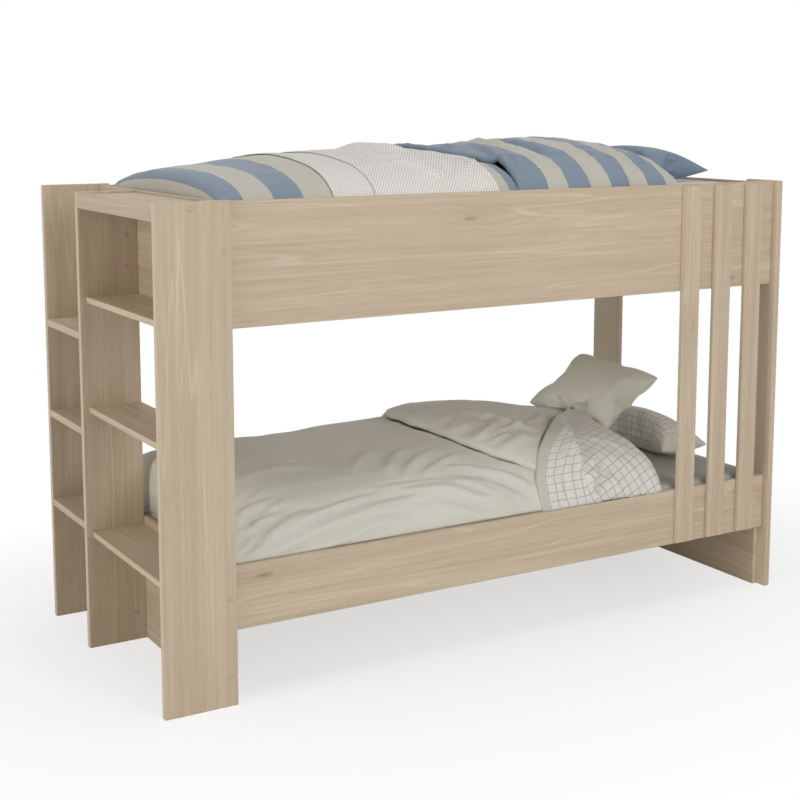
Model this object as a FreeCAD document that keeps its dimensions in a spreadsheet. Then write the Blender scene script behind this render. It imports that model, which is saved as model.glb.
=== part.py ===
import FreeCAD, Part
import math
import os
import Sketcher
from types import SimpleNamespace

# Bunk bed with a bookcase and ladder at its foot end, made up with two beds.
# Millimetres, +Z up, +X towards the head end, the open front faces -Y.
# Lengths and places below are counted from the foot end, the front face and the floor;
# every piece is then set down about the origin, which is the bottom centre of the bed.

doc = FreeCAD.newDocument("BunkBed")


# Driving dimensions

DRIVING = [
    ("mattress_length", 2000, "mattress, foot to head"),
    ("mattress_width", 900, "mattress, front to back"),
    ("mattress_height", 150, "mattress thickness"),
    ("mattress_bevel", 18, "bevel of all mattress edges"),
    ("end_gap", 5, "room left at each end of a mattress"),
    ("side_gap", 2.5, "room left at each side of a mattress"),
    ("board_thickness", 22, "bookcase boards, ladder steps and head posts"),
    ("rail_thickness", 18, "bed rails, end boards and shelves"),
    ("guard_thickness", 15, "upright guard slats on the front"),
    ("edge_bevel", 1.2, "bevelled edges of the boards"),
    ("board_height", 1422, "front and back boards of the bookcase"),
    ("rail_drop", 4, "top of the upper rails below the boards"),
    ("post_drop", 2, "top of the head posts below the boards"),
    ("head_board_drop", 4, "top of the upper head board below the rail tops"),
    ("bookcase_depth", 187, "middle board, shelves and steps, foot to bed"),
    ("board_lap", 14, "front and back boards past the foot boards"),
    ("upper_rail_height", 350, "upper rails and upper end boards"),
    ("lower_rail_height", 186.5, "lower rails"),
    ("lower_rail_rise", 210.5, "floor to the lower rails"),
    ("post_width", 152, "head posts, front to back"),
    ("guard_width", 72, "guard slats"),
    ("guard_pitch", 136, "guard slat to guard slat"),
    ("guard_margin", 60, "last guard slat to the rail's head end"),
    ("guard_inset", 5, "guard slats inside the rails' outer edges"),
    ("ladder_width", 312, "clear width of the ladder"),
    ("first_step_top", 400.5, "top of the lowest ladder step"),
    ("step_rise", 296, "ladder step to ladder step"),
    ("low_shelf_top", 371.5, "top of the low shelf"),
    ("mid_shelf_top", 762.7, "top of the middle shelf"),
    ("high_shelf_top", 1101.7, "top of the high shelf"),
    ("shelf_setback", 20, "shelf fronts behind the board fronts"),
    ("fascia_height", 48, "fascia under the bookcase top"),
    ("lip_height", 7, "fascia above the top shelf"),
    ("ledger_width", 25, "ledgers, front to back"),
    ("ledger_height", 28, "ledgers, bottom to top"),
    ("bed_slat_width", 70, "slats under the mattresses"),
    ("bed_slat_thickness", 15, "slats under the mattresses"),
    ("upper_slat_depth", 174.6, "upper rail top to slat top"),
    ("lower_slat_depth", 140.6, "lower rail top to slat top"),
    ("tape_width", 38, "tapes that hold the bed slats"),
    ("tape_thickness", 1.2, "tapes that hold the bed slats"),
    ("tape_inset", 170, "tape to the mattress side"),
    ("sheet_thickness", 1, "fitted sheets"),
    ("soft_gap", 0.3, "air round soft pieces where they rest"),
    ("cap_diameter", 15, "round caps on the bolts"),
    ("cap_thickness", 1.5, "round caps on the bolts"),
    ("bolt_diameter", 7, "connector bolts"),
    ("bolt_head_diameter", 14, "connector bolts"),
    ("bolt_head_thickness", 3, "connector bolts"),
    ("bolt_tip", 4, "connector bolt past its barrel nut"),
    ("nut_diameter", 10, "barrel nuts"),
    ("nut_length", 14, "barrel nuts"),
    ("nut_inset", 30, "barrel nut to the edge of its board"),
    ("cam_diameter", 15, "cam locks"),
    ("cam_length", 12, "cam locks"),
    ("cam_inset", 34, "cam lock to the edge of its board"),
    ("cam_margin", 37, "cam lock to the long edge of a shelf or step"),
    ("cam_bolt_diameter", 6, "bolts of the cam locks"),
    ("cam_bolt_bite", 11, "cam lock bolt into the next board"),
    ("dowel_diameter", 8, "wooden dowels of the fascia"),
    ("dowel_length", 30, "wooden dowels of the fascia"),
    ("dowel_bite", 11, "dowel into the fascia"),
    ("hole_play", 0.2, "hole over the diameter of what it holds"),
    ("low_bolt_height", 88, "lowest bolts and cams"),
    ("lower_bolt_height", 313.5, "bolts of the lower rails"),
    ("upper_bolt_height", 1188, "lower bolts of the upper rails"),
    ("top_bolt_height", 1285, "upper bolts of the upper rails"),
    ("top_shelf_bolt_reach", 101, "bolt of the top shelf from the foot end"),
    ("duvet_hem", 6, "thickness of the duvets at their hems"),
    ("duvet_side_gap", 9, "duvet hem to the rail"),
    ("upper_duvet_length", 1683, "upper duvet, foot to turned-back end"),
    ("upper_duvet_rise", 175, "upper duvet above the mattress"),
    ("lower_duvet_length", 1803, "lower duvet, foot to its folded end"),
    ("lower_duvet_rise", 262, "lower duvet above the mattress"),
    ("fold_lift", 1, "folded-back layer of a duvet past the layer below it"),
    ("throw_thickness", 3, "one layer of the throw"),
    ("head_pillow_length", 630, "upper pillow, front to back"),
    ("head_pillow_width", 340, "upper pillow, foot to head"),
    ("head_pillow_height", 120, "upper pillow"),
    ("head_pillow_reach", 2040, "middle of the upper pillow from the foot end"),
    ("head_pillow_depth", 475, "middle of the upper pillow from the front"),
    ("grid_pillow_length", 446, "lower pillow, front to back"),
    ("grid_pillow_width", 225, "lower pillow, foot to head"),
    ("grid_pillow_height", 150, "lower pillow"),
    ("grid_pillow_reach", 2095, "middle of the lower pillow from the foot end"),
    ("grid_pillow_depth", 507, "middle of the lower pillow from the front"),
    ("cushion_side", 340, "square cushion, corner to corner"),
    ("cushion_height", 110, "square cushion"),
    ("cushion_reach", 1897, "middle of the square cushion from the foot end"),
    ("cushion_depth", 564, "middle of the square cushion from the front"),
    ("cushion_lift", 628, "middle of the square cushion from the floor"),
    ("pillow_seam", 5, "thickness of a pillow at its seam"),
]
BED_SLAT_COUNT = 14
GUARD_COUNT = 3
FITTING_SIDES = 8
STEP_COUNT = 3


class Size:
    """A length that knows its value and the sheet expression that yields it."""

    def __init__(self, value, text):
        self.value = float(value)
        self.text = text

    def __add__(self, other):
        other = as_size(other)
        return Size(self.value + other.value, "(%s + %s)" % (self.text, other.text))

    def __sub__(self, other):
        other = as_size(other)
        return Size(self.value - other.value, "(%s - %s)" % (self.text, other.text))

    def __mul__(self, factor):
        factor = as_size(factor)
        return Size(self.value * factor.value, "(%s * %s)" % (self.text, factor.text))

    def __truediv__(self, factor):
        factor = as_size(factor)
        return Size(self.value / factor.value, "(%s / %s)" % (self.text, factor.text))

    __radd__ = __add__
    __rmul__ = __mul__


def as_size(number):
    return number if isinstance(number, Size) else Size(number, repr(number))


def fill_sheet():
    """Write the driving dimensions into the sheet and return them as named sizes."""
    sheet = doc.addObject("Spreadsheet::Sheet", "Sizes")
    named = {}
    for row, (alias, value, note) in enumerate(DRIVING, start=1):
        sheet.set("A%d" % row, note)
        sheet.set("B%d" % row, str(value))
        sheet.setAlias("B%d" % row, alias)
    doc.recompute()
    for alias, value, note in DRIVING:
        named[alias] = Size(sheet.get(alias), "Sizes." + alias)
    return SimpleNamespace(**named)


s = fill_sheet()
ZERO = Size(0, "0")


# Derived places, front face, foot end and floor at zero

# the room between rails and end boards, a mattress and its gaps
room_length = s.mattress_length + s.end_gap * 2
room_width = s.mattress_width + s.side_gap * 2
room_foot = s.bookcase_depth + s.rail_thickness
room_head = room_foot + room_length
room_front = s.board_thickness + s.rail_thickness
room_back = room_front + room_width
rail_start = s.bookcase_depth
rail_end = room_head + s.rail_thickness
overall_length = rail_end + s.board_thickness
overall_width = room_back + room_front
back_board_front = overall_width - s.board_thickness
middle_board_back = back_board_front - s.ladder_width
middle_board_front = middle_board_back - s.board_thickness
cased_width = overall_width - s.board_thickness * 2

# heights
rail_top = s.board_height - s.rail_drop
upper_rail_bottom = rail_top - s.upper_rail_height
lower_rail_top = s.lower_rail_rise + s.lower_rail_height
post_top = s.board_height - s.post_drop
head_board_top = rail_top - s.head_board_drop
top_shelf_top = rail_top - s.lip_height
top_shelf_bottom = top_shelf_top - s.rail_thickness
fascia_bottom = rail_top - s.fascia_height
upper_slat_top = rail_top - s.upper_slat_depth
lower_slat_top = lower_rail_top - s.lower_slat_depth

# the skin of a fitted sheet round its mattress, and the tops of the made beds
sheet_skin = s.sheet_thickness + s.soft_gap
upper_bed_top = upper_slat_top + s.soft_gap + s.mattress_height + sheet_skin + s.soft_gap
lower_bed_top = lower_slat_top + s.soft_gap + s.mattress_height + sheet_skin + s.soft_gap
mattress_foot = room_foot + s.end_gap
mattress_front = room_front + s.side_gap

shelf_front = s.shelf_setback
shelf_depth = s.bookcase_depth - s.shelf_setback
shelf_span = middle_board_front - s.board_thickness
shelf_tops = [s.low_shelf_top, s.mid_shelf_top, s.high_shelf_top]
step_tops = [s.first_step_top + s.step_rise * step for step in range(STEP_COUNT)]


# Modelling helpers

PLANES = {"X": "YZ_Plane", "Y": "XZ_Plane", "Z": "XY_Plane"}
# the two axes drawn in a sketch whose plane faces the key's axis
DRAWN = {"X": (1, 2), "Y": (0, 2), "Z": (0, 1)}
# a sketch on the XZ plane faces -Y, the other two face +X and +Z
FACES_FORWARD = {"X": True, "Y": False, "Z": True}
AXES = {"X": 0, "Y": 1, "Z": 2}
# corners of a ring round a fitting, as shares of its radius
RING_SHARES = [(math.cos(math.tau * side / FITTING_SIDES), math.sin(math.tau * side / FITTING_SIDES))
               for side in range(FITTING_SIDES)]
pieces = []


def add_sketch(body, axis, name, offset=ZERO):
    """A sketch square to one axis, at a distance from the body's own origin."""
    sketch = body.newObject("Sketcher::SketchObject", name)
    plane = [item for item in body.Origin.OriginFeatures if item.Role == PLANES[axis]][0]
    sketch.AttachmentSupport = (plane, [""])
    sketch.MapMode = "FlatFace"
    sign = "" if FACES_FORWARD[axis] else "-"
    if offset is not ZERO:
        sketch.setExpression("AttachmentOffset.Base.z", sign + offset.text)
    return sketch


def pin_point(sketch, geometry, point, place):
    """Hold one point of a sketch at two named distances from the sketch's origin."""
    for kind, line, distance in (("DistanceX", -2, place[0]), ("DistanceY", -1, place[1])):
        if distance is ZERO:
            sketch.addConstraint(Sketcher.Constraint("PointOnObject", geometry, point, line))
            continue
        number = sketch.addConstraint(Sketcher.Constraint(kind, -1, 1, geometry, point, distance.value))
        sketch.setExpression("Constraints[%d]" % number, distance.text)


def draw_outline(sketch, corners):
    """Draw a closed outline of straight lines through named corners."""
    points = [FreeCAD.Vector(u.value, v.value, 0) for u, v in corners]
    count = len(points)
    lines = [sketch.addGeometry(Part.LineSegment(points[number], points[(number + 1) % count]), False)
             for number in range(count)]
    for number in range(count):
        sketch.addConstraint(Sketcher.Constraint("Coincident", lines[number], 2, lines[(number + 1) % count], 1))
    for line, corner in zip(lines, corners):
        pin_point(sketch, line, 1, corner)


def draw_bores(sketch, centres, diameter):
    """Draw equal bores about named centres, with as many sides as the fittings that they take."""
    for u, v in centres:
        corners = [(u + diameter / 2 * across, v + diameter / 2 * up) for across, up in RING_SHARES]
        draw_outline(sketch, corners)


def set_down(item, at):
    """Place a piece, given from foot, front and floor, about the bed's bottom centre."""
    item.setExpression("Placement.Base.x", (at[0] - overall_length / 2).text)
    item.setExpression("Placement.Base.y", (at[1] - overall_width / 2).text)
    item.setExpression("Placement.Base.z", at[2].text)


def add_panel(label, axis, at, spans, bevel, outline=None):
    """A board whose thickness lies along one axis, with every edge bevelled."""
    body = doc.addObject("PartDesign::Body", label)
    body.Label = label
    across, up = DRAWN[axis]
    if outline is None:
        outline = [(ZERO, ZERO), (spans[across], ZERO), (spans[across], spans[up]), (ZERO, spans[up])]
    sketch = add_sketch(body, axis, label + "_outline")
    draw_outline(sketch, outline)
    pad = body.newObject("PartDesign::Pad", label + "_pad")
    pad.Profile = sketch
    pad.Reversed = not FACES_FORWARD[axis]
    pad.setExpression("Length", spans[AXES[axis]].text)
    doc.recompute()
    arris = body.newObject("PartDesign::Chamfer", label + "_arris")
    arris.Base = (pad, [""])
    arris.UseAllEdges = True
    arris.setExpression("Size", bevel.text)
    set_down(body, at)
    doc.recompute()
    panel = SimpleNamespace(label=label, body=body, at=at, spans=spans)
    pieces.append(body)
    return panel


def drill(panel, axis, side, centres, diameter, depth=None):
    """Bore equal holes into the low or the high face of a panel, through it without a depth."""
    before = panel.body.Shape.Volume
    name = "%s_holes_%d" % (panel.label, len(panel.body.Group))
    high = side == "high"
    offset = panel.spans[AXES[axis]] if high else ZERO
    sketch = add_sketch(panel.body, axis, name + "_plan", offset)
    across, up = DRAWN[axis]
    local = [(centre[0] - panel.at[across], centre[1] - panel.at[up]) for centre in centres]
    draw_bores(sketch, local, diameter)
    pocket = panel.body.newObject("PartDesign::Pocket", name)
    pocket.Profile = sketch
    pocket.Reversed = high != FACES_FORWARD[axis]
    if depth is None:
        pocket.Type = "ThroughAll"
    else:
        pocket.setExpression("Length", depth.text)
    doc.recompute()
    if panel.body.Shape.Volume >= before:
        raise RuntimeError(name + " cuts nothing")


def add_fitting(label, steps):
    """A fitting along +Z from its own origin, of (diameter, bottom, top) steps joined end to end."""
    prisms = []
    for diameter, bottom, top in steps:
        prism = doc.addObject("Part::Prism", "%s_step_%d" % (label, len(prisms) + 1))
        prism.Polygon = FITTING_SIDES
        prism.setExpression("Circumradius", (diameter / 2).text)
        prism.setExpression("Height", (top - bottom).text)
        prism.setExpression("Placement.Base.z", bottom.text)
        prisms.append(prism)
    if len(prisms) > 1:
        joined = doc.addObject("Part::MultiFuse", label)
        joined.Shapes = prisms
        joined.Refine = True
        prisms = [joined]
    doc.recompute()
    return prisms[0]


POINTS = {
    "+X": FreeCAD.Rotation(FreeCAD.Vector(0, 0, 1), FreeCAD.Vector(1, 0, 0)),
    "-X": FreeCAD.Rotation(FreeCAD.Vector(0, 0, 1), FreeCAD.Vector(-1, 0, 0)),
    "+Y": FreeCAD.Rotation(FreeCAD.Vector(0, 0, 1), FreeCAD.Vector(0, 1, 0)),
    "-Y": FreeCAD.Rotation(FreeCAD.Vector(0, 0, 1), FreeCAD.Vector(0, -1, 0)),
    "+Z": FreeCAD.Rotation(),
}


def centred(x, y, z):
    """A point counted from foot, front and floor, about the bed's bottom centre."""
    return FreeCAD.Vector(x.value - overall_length.value / 2, y.value - overall_width.value / 2, z.value)


def add_group(label, masters):
    """Equal pieces that share one node: (master, place, direction) for each of them."""
    shapes = []
    for master, place, direction in masters:
        shape = master.Shape.copy()
        shape.Placement = FreeCAD.Placement(centred(*place), POINTS[direction])
        shapes.append(shape)
    add_shape(label, Part.makeCompound(shapes))


def add_shape(label, shape, placement=None):
    """A sub-part whose shape is made by the functions of this script."""
    item = doc.addObject("Part::Feature", label)
    item.Label = label
    item.Shape = shape
    if placement is not None:
        item.Placement = placement
    pieces.append(item)
    return item


# Bookcase and ladder at the foot end

def build_bookcase():
    depth = s.bookcase_depth
    outer_width = depth + s.rail_thickness + s.board_lap
    boards = {
        "front_board": (ZERO, outer_width, s.board_height),
        "middle_board": (middle_board_front, depth, rail_top),
        "back_board": (back_board_front, outer_width, s.board_height),
    }
    panels = {}
    for label, (front, width, height) in boards.items():
        spans = (width, s.board_thickness, height)
        panels[label] = add_panel(label, "Y", (ZERO, front, ZERO), spans, s.edge_bevel)
    for label, top in zip(("low_shelf", "mid_shelf", "high_shelf"), shelf_tops):
        at = (shelf_front, s.board_thickness, top - s.rail_thickness)
        panels[label] = add_panel(label, "Z", at, (shelf_depth, shelf_span, s.rail_thickness), s.edge_bevel)
    for label, top in zip(("low_step", "mid_step", "high_step"), step_tops):
        at = (ZERO, middle_board_back, top - s.board_thickness)
        panels[label] = add_panel(label, "Z", at, (depth, s.ladder_width, s.board_thickness), s.edge_bevel)
    panels["fascia"] = add_panel(
        "fascia", "X", (ZERO, s.board_thickness, fascia_bottom),
        (s.rail_thickness, shelf_span, s.fascia_height), s.edge_bevel)
    panels["top_shelf"] = add_panel(
        "top_shelf", "Z", (s.rail_thickness, s.board_thickness, top_shelf_bottom),
        (depth - s.rail_thickness, shelf_span, s.rail_thickness), s.edge_bevel)
    return panels


# End boards, rails, posts and guard slats of the two beds

def build_end_boards():
    """The lower foot board passes under the rails, so its upper corners are notched for them."""
    inner = s.rail_thickness
    outer = cased_width - s.rail_thickness
    notched = [
        (ZERO, ZERO), (cased_width, ZERO), (cased_width, s.lower_rail_rise), (outer, s.lower_rail_rise),
        (outer, lower_rail_top), (inner, lower_rail_top), (inner, s.lower_rail_rise), (ZERO, s.lower_rail_rise),
    ]
    thickness = s.rail_thickness
    foot, head = s.bookcase_depth, room_head
    upper_head_height = head_board_top - upper_rail_bottom
    return {
        "lower_foot_board": add_panel(
            "lower_foot_board", "X", (foot, s.board_thickness, ZERO),
            (thickness, cased_width, lower_rail_top), s.edge_bevel, notched),
        "upper_foot_board": add_panel(
            "upper_foot_board", "X", (foot, room_front, upper_rail_bottom),
            (thickness, room_width, s.upper_rail_height), s.edge_bevel),
        "lower_head_board": add_panel(
            "lower_head_board", "X", (head, room_front, ZERO),
            (thickness, room_width, lower_rail_top), s.edge_bevel),
        "upper_head_board": add_panel(
            "upper_head_board", "X", (head, room_front, upper_rail_bottom),
            (thickness, room_width, upper_head_height), s.edge_bevel),
    }


def build_rails():
    panels = {}
    for side, front in (("front", s.board_thickness), ("back", room_back)):
        for level, bottom, height in (("upper", upper_rail_bottom, s.upper_rail_height),
                                      ("lower", s.lower_rail_rise, s.lower_rail_height)):
            label = "%s_%s_rail" % (side, level)
            spans = (rail_end - rail_start, s.rail_thickness, height)
            panels[label] = add_panel(label, "Y", (rail_start, front, bottom), spans, s.edge_bevel)
    return panels


def build_posts():
    panels = {}
    for label, front in (("front_head_post", ZERO), ("back_head_post", overall_width - s.post_width)):
        spans = (s.board_thickness, s.post_width, post_top)
        panels[label] = add_panel(label, "X", (rail_end, front, ZERO), spans, s.edge_bevel)
    return panels


def build_guard_slats():
    bottom = s.lower_rail_rise + s.guard_inset
    spans = (s.guard_width, s.guard_thickness, rail_top - s.guard_inset - bottom)
    panels = []
    for number in range(GUARD_COUNT):
        start = rail_end - s.guard_margin - s.guard_width - s.guard_pitch * number
        at = (start, s.board_thickness - s.guard_thickness, bottom)
        panels.append(add_panel("guard_slat_%d" % (number + 1), "Y", at, spans, s.edge_bevel))
    return panels


# Ledgers, slats and tapes under the mattresses

def build_ledgers():
    panels = {}
    for level, slat_top in (("upper", upper_slat_top), ("lower", lower_slat_top)):
        bottom = slat_top - s.bed_slat_thickness - s.ledger_height
        for side, front in (("front", room_front), ("back", room_back - s.ledger_width)):
            label = "%s_%s_ledger" % (side, level)
            spans = (room_length, s.ledger_width, s.ledger_height)
            panels[label] = add_panel(label, "Y", (room_foot, front, bottom), spans, s.edge_bevel)
    return panels


def build_slat_bases():
    """A slat and a tape are made once, and each bed gets its row of slats and its two tapes."""
    slat_length = room_width - s.side_gap * 2
    slat = make_block("bed_slat", (s.bed_slat_width, slat_length, s.bed_slat_thickness))
    pitch = room_length / BED_SLAT_COUNT
    first = room_foot + (pitch - s.bed_slat_width) / 2
    tape = make_block("slat_tape", (room_length - (pitch - s.bed_slat_width), s.tape_width, s.tape_thickness))
    for level, top in (("upper", upper_slat_top), ("lower", lower_slat_top)):
        front = room_front + s.side_gap
        row = [(slat, (first + pitch * number, front, top - s.bed_slat_thickness), "+Z")
               for number in range(BED_SLAT_COUNT)]
        add_group(level + "_bed_slats", row)
        underside = top - s.bed_slat_thickness - s.tape_thickness
        fronts = (room_front + s.tape_inset, room_back - s.tape_inset - s.tape_width)
        add_group(level + "_slat_tapes", [(tape, (first, place, underside), "+Z") for place in fronts])


def make_block(label, spans):
    """A plain block at the origin, to be copied into a group."""
    block = doc.addObject("Part::Box", label)
    for side, span in zip(("Length", "Width", "Height"), spans):
        block.setExpression(side, span.text)
    doc.recompute()
    return block


# Fittings, each kind made once, bored for and then copied to its places

bolt_recess = s.cap_thickness + s.bolt_head_thickness
bolt_hole = s.bolt_diameter + s.hole_play
bolt_reach = s.nut_inset + s.nut_diameter / 2 + s.bolt_tip
nut_seat = (s.rail_thickness + s.nut_length) / 2
foot_bolt_line = s.bookcase_depth + s.rail_thickness / 2
head_bolt_line = room_head + s.rail_thickness / 2
top_shelf_line = top_shelf_bottom + s.rail_thickness / 2
upper_bolts = [s.upper_bolt_height, s.top_bolt_height]


def make_bolt(label, grip):
    """A bolt whose head lies under its cap, through what it grips and past its nut."""
    length = grip + bolt_reach - s.cap_thickness
    return add_fitting(label, [(s.bolt_head_diameter, ZERO, s.bolt_head_thickness),
                               (s.bolt_diameter, s.bolt_head_thickness, length)])


def make_barrel_nut():
    """A barrel with a cross bore half way up, along its own Y."""
    nut = doc.addObject("Part::Cut", "nut_master")
    nut.Base = add_fitting("nut_barrel", [(s.nut_diameter, ZERO, s.nut_length)])
    nut.Tool = add_fitting("nut_bore", [(bolt_hole, ZERO, s.nut_diameter)])
    nut.Tool.Placement.Rotation = POINTS["+Y"]
    nut.Tool.setExpression("Placement.Base.y", "-" + (s.nut_diameter / 2).text)
    nut.Tool.setExpression("Placement.Base.z", (s.nut_length / 2).text)
    doc.recompute()
    return nut


def bolt_front_and_back(panels):
    """Bore the front and back for their bolts and return the bolts' grips and places."""
    places = []
    foot_rows = [
        (foot_bolt_line, s.low_bolt_height, "lower_foot_board", None),
        (foot_bolt_line, s.lower_bolt_height, "lower_foot_board", "lower"),
        (foot_bolt_line, upper_bolts[0], "upper_foot_board", "upper"),
        (foot_bolt_line, upper_bolts[1], "upper_foot_board", "upper"),
    ]
    head_rows = [
        (head_bolt_line, s.lower_bolt_height, "lower_head_board", "lower"),
        (head_bolt_line, upper_bolts[0], "upper_head_board", "upper"),
        (head_bolt_line, upper_bolts[1], "upper_head_board", "upper"),
    ]
    for side, face in (("front", "low"), ("back", "high")):
        board = panels[side + "_board"]
        centres = [(line, height) for line, height, end, level in foot_rows]
        drill(board, "Y", face, centres, s.cap_diameter + s.hole_play, bolt_recess)
        drill(board, "Y", face, centres, bolt_hole)
        for line, height, end, level in foot_rows:
            bolt_into_edge(panels, side, face, line, height, end, level)
            places.append(("cased" if level else "board", side, line, height, s.board_thickness))
        for level in ("lower", "upper"):
            rail = panels["%s_%s_rail" % (side, level)]
            centres = [(line, height) for line, height, end, rail_level in head_rows if rail_level == level]
            drill(rail, "Y", face, centres, s.cap_diameter + s.hole_play, bolt_recess)
            drill(rail, "Y", face, centres, bolt_hole)
        for line, height, end, level in head_rows:
            bolt_into_edge(panels, side, face, line, height, end, None)
            places.append(("rail", side, line, height, ZERO))
    return places


def bolt_into_edge(panels, side, face, line, height, end, level):
    """Bore the rail that a bolt passes and the edge of the end board that receives it."""
    if level is not None:
        drill(panels["%s_%s_rail" % (side, level)], "Y", face, [(line, height)], bolt_hole)
    board = panels[end]
    notch = height is not s.low_bolt_height and end == "lower_foot_board"
    depth = bolt_reach + s.rail_thickness if notch else bolt_reach
    drill(board, "Y", face, [(line, height)], bolt_hole, depth)
    edge = s.board_thickness if height is s.low_bolt_height else room_front
    nut_line = edge + s.nut_inset
    if side == "back":
        nut_line = overall_width - edge - s.nut_inset
    inner_face = "high" if line is foot_bolt_line else "low"
    drill(board, "X", inner_face, [(nut_line, height)], s.nut_diameter + s.hole_play, nut_seat)


def add_bolts(panels):
    """Bolts, caps and barrel nuts of the rails, the foot boards and the top shelf."""
    rows = bolt_front_and_back(panels)
    bolts = {
        "cased": make_bolt("cased_bolt_master", s.board_thickness + s.rail_thickness),
        "board": make_bolt("board_bolt_master", s.board_thickness),
        "rail": make_bolt("rail_bolt_master", s.rail_thickness),
    }
    cap = add_fitting("cap_master", [(s.cap_diameter, ZERO, s.cap_thickness)])
    nut = make_barrel_nut()
    placed_bolts, placed_caps, placed_nuts = [], [], []
    for kind, side, line, height, skin in rows:
        face = ZERO if line is foot_bolt_line else s.board_thickness
        edge = s.board_thickness if kind == "board" else room_front
        end_board = s.bookcase_depth if line is foot_bolt_line else room_head
        nut_foot = end_board + s.rail_thickness - nut_seat
        if side == "front":
            way, outer, under, nut_line = "+Y", face, face + s.cap_thickness, edge + s.nut_inset
        else:
            way, outer = "-Y", overall_width - face
            under, nut_line = outer - s.cap_thickness, overall_width - edge - s.nut_inset
        placed_caps.append((cap, (line, outer, height), way))
        placed_bolts.append((bolts[kind], (line, under, height), way))
        placed_nuts.append((nut, (nut_foot, nut_line, height), "+X"))
    bore_top_shelf(panels)
    reach = s.top_shelf_bolt_reach
    nut_bottom = top_shelf_bottom + s.rail_thickness - nut_seat
    for face, way, inward, edge in ((ZERO, "+Y", 1, s.board_thickness), (middle_board_back, "-Y", -1, middle_board_front)):
        placed_caps.append((cap, (reach, face, top_shelf_line), way))
        placed_bolts.append((bolts["board"], (reach, face + s.cap_thickness * inward, top_shelf_line), way))
        placed_nuts.append((nut, (reach, edge + s.nut_inset * inward, nut_bottom), "+Z"))
    add_group("connector_bolts", placed_bolts)
    add_group("bolt_caps", placed_caps)
    add_group("barrel_nuts", placed_nuts)


def bore_top_shelf(panels):
    """Bolts from the front and the middle board hold the top shelf."""
    centre = [(s.top_shelf_bolt_reach, top_shelf_line)]
    for label, face in (("front_board", "low"), ("middle_board", "high")):
        drill(panels[label], "Y", face, centre, s.cap_diameter + s.hole_play, bolt_recess)
        drill(panels[label], "Y", face, centre, bolt_hole)
    nuts = []
    for face, edge, inward in (("low", s.board_thickness, 1), ("high", middle_board_front, -1)):
        drill(panels["top_shelf"], "Y", face, centre, bolt_hole, bolt_reach)
        nuts.append((s.top_shelf_bolt_reach, edge + s.nut_inset * inward))
    drill(panels["top_shelf"], "Z", "low", nuts, s.nut_diameter + s.hole_play, nut_seat)


def add_cam_locks(panels):
    """Cam locks and their bolts: shelves and steps to the boards, middle board to the foot boards."""
    cam = add_fitting("cam_master", [(s.cam_diameter, ZERO, s.cam_length)])
    bolt_length = s.cam_bolt_bite + s.cam_inset - s.cam_diameter / 2 - s.hole_play
    bolt = add_fitting("cam_bolt_master", [(s.cam_bolt_diameter, ZERO, bolt_length)])
    hole = s.cam_bolt_diameter + s.hole_play
    pocket = s.cam_diameter + s.hole_play
    cams, bolts = [], []
    level_boards = [("low_shelf", "front_board", "middle_board"), ("mid_shelf", "front_board", "middle_board"),
                    ("high_shelf", "front_board", "middle_board"), ("low_step", "middle_board", "back_board"),
                    ("mid_step", "middle_board", "back_board"), ("high_step", "middle_board", "back_board")]
    for label, near, far in level_boards:
        board = panels[label]
        bottom = board.at[2]
        middle = bottom + board.spans[2] / 2
        near_face = board.at[1]
        far_face = near_face + board.spans[1]
        lines = (board.at[0] + s.cam_margin, s.bookcase_depth - s.cam_margin)
        ends = [(line, middle) for line in lines]
        drill(panels[near], "Y", "high", ends, hole, s.cam_bolt_bite)
        drill(panels[far], "Y", "low", ends, hole, s.cam_bolt_bite)
        drill(board, "Y", "low", ends, hole, s.cam_inset)
        drill(board, "Y", "high", ends, hole, s.cam_inset)
        rows = (near_face + s.cam_inset, far_face - s.cam_inset)
        drill(board, "Z", "low", [(line, row) for line in lines for row in rows], pocket, s.cam_length)
        for line in lines:
            bolts.append((bolt, (line, near_face - s.cam_bolt_bite, middle), "+Y"))
            bolts.append((bolt, (line, far_face + s.cam_bolt_bite, middle), "-Y"))
            cams.extend((cam, (line, row, bottom), "+Z") for row in rows)
    line = s.bookcase_depth - s.cam_inset
    middle = middle_board_front + s.board_thickness / 2
    for height, end in ((s.low_bolt_height, "lower_foot_board"), (s.lower_bolt_height, "lower_foot_board"),
                        (s.upper_bolt_height, "upper_foot_board"), (s.top_bolt_height, "upper_foot_board")):
        drill(panels["middle_board"], "Y", "low", [(line, height)], pocket, s.cam_length)
        drill(panels["middle_board"], "X", "high", [(middle, height)], hole, s.cam_inset)
        drill(panels[end], "X", "low", [(middle, height)], hole, s.cam_bolt_bite)
        cams.append((cam, (line, middle_board_front, height), "+Y"))
        bolts.append((bolt, (s.bookcase_depth + s.cam_bolt_bite, middle, height), "-X"))
    add_group("cam_locks", cams)
    add_group("cam_bolts", bolts)


def add_dowels(panels):
    """Wooden dowels hold the fascia to the top shelf."""
    count = 3
    dowel = add_fitting("dowel_master", [(s.dowel_diameter, ZERO, s.dowel_length)])
    rows = [s.board_thickness + shelf_span * ((number + 0.5) / count) for number in range(count)]
    centres = [(row, top_shelf_line) for row in rows]
    hole = s.dowel_diameter + s.hole_play
    drill(panels["fascia"], "X", "high", centres, hole, s.dowel_bite)
    drill(panels["top_shelf"], "X", "low", centres, hole, s.dowel_length - s.dowel_bite)
    start = s.rail_thickness - s.dowel_bite
    add_group("fascia_dowels", [(dowel, (start, row, top_shelf_line), "+X") for row in rows])


# Mattresses and their fitted sheets

def build_mattresses():
    for level, top in (("upper", upper_slat_top), ("lower", lower_slat_top)):
        add_panel(level + "_mattress", "Z", (mattress_foot, mattress_front, top + s.soft_gap),
                  (s.mattress_length, s.mattress_width, s.mattress_height), s.mattress_bevel)
        add_fitted_sheet(level + "_fitted_sheet", top)


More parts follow.
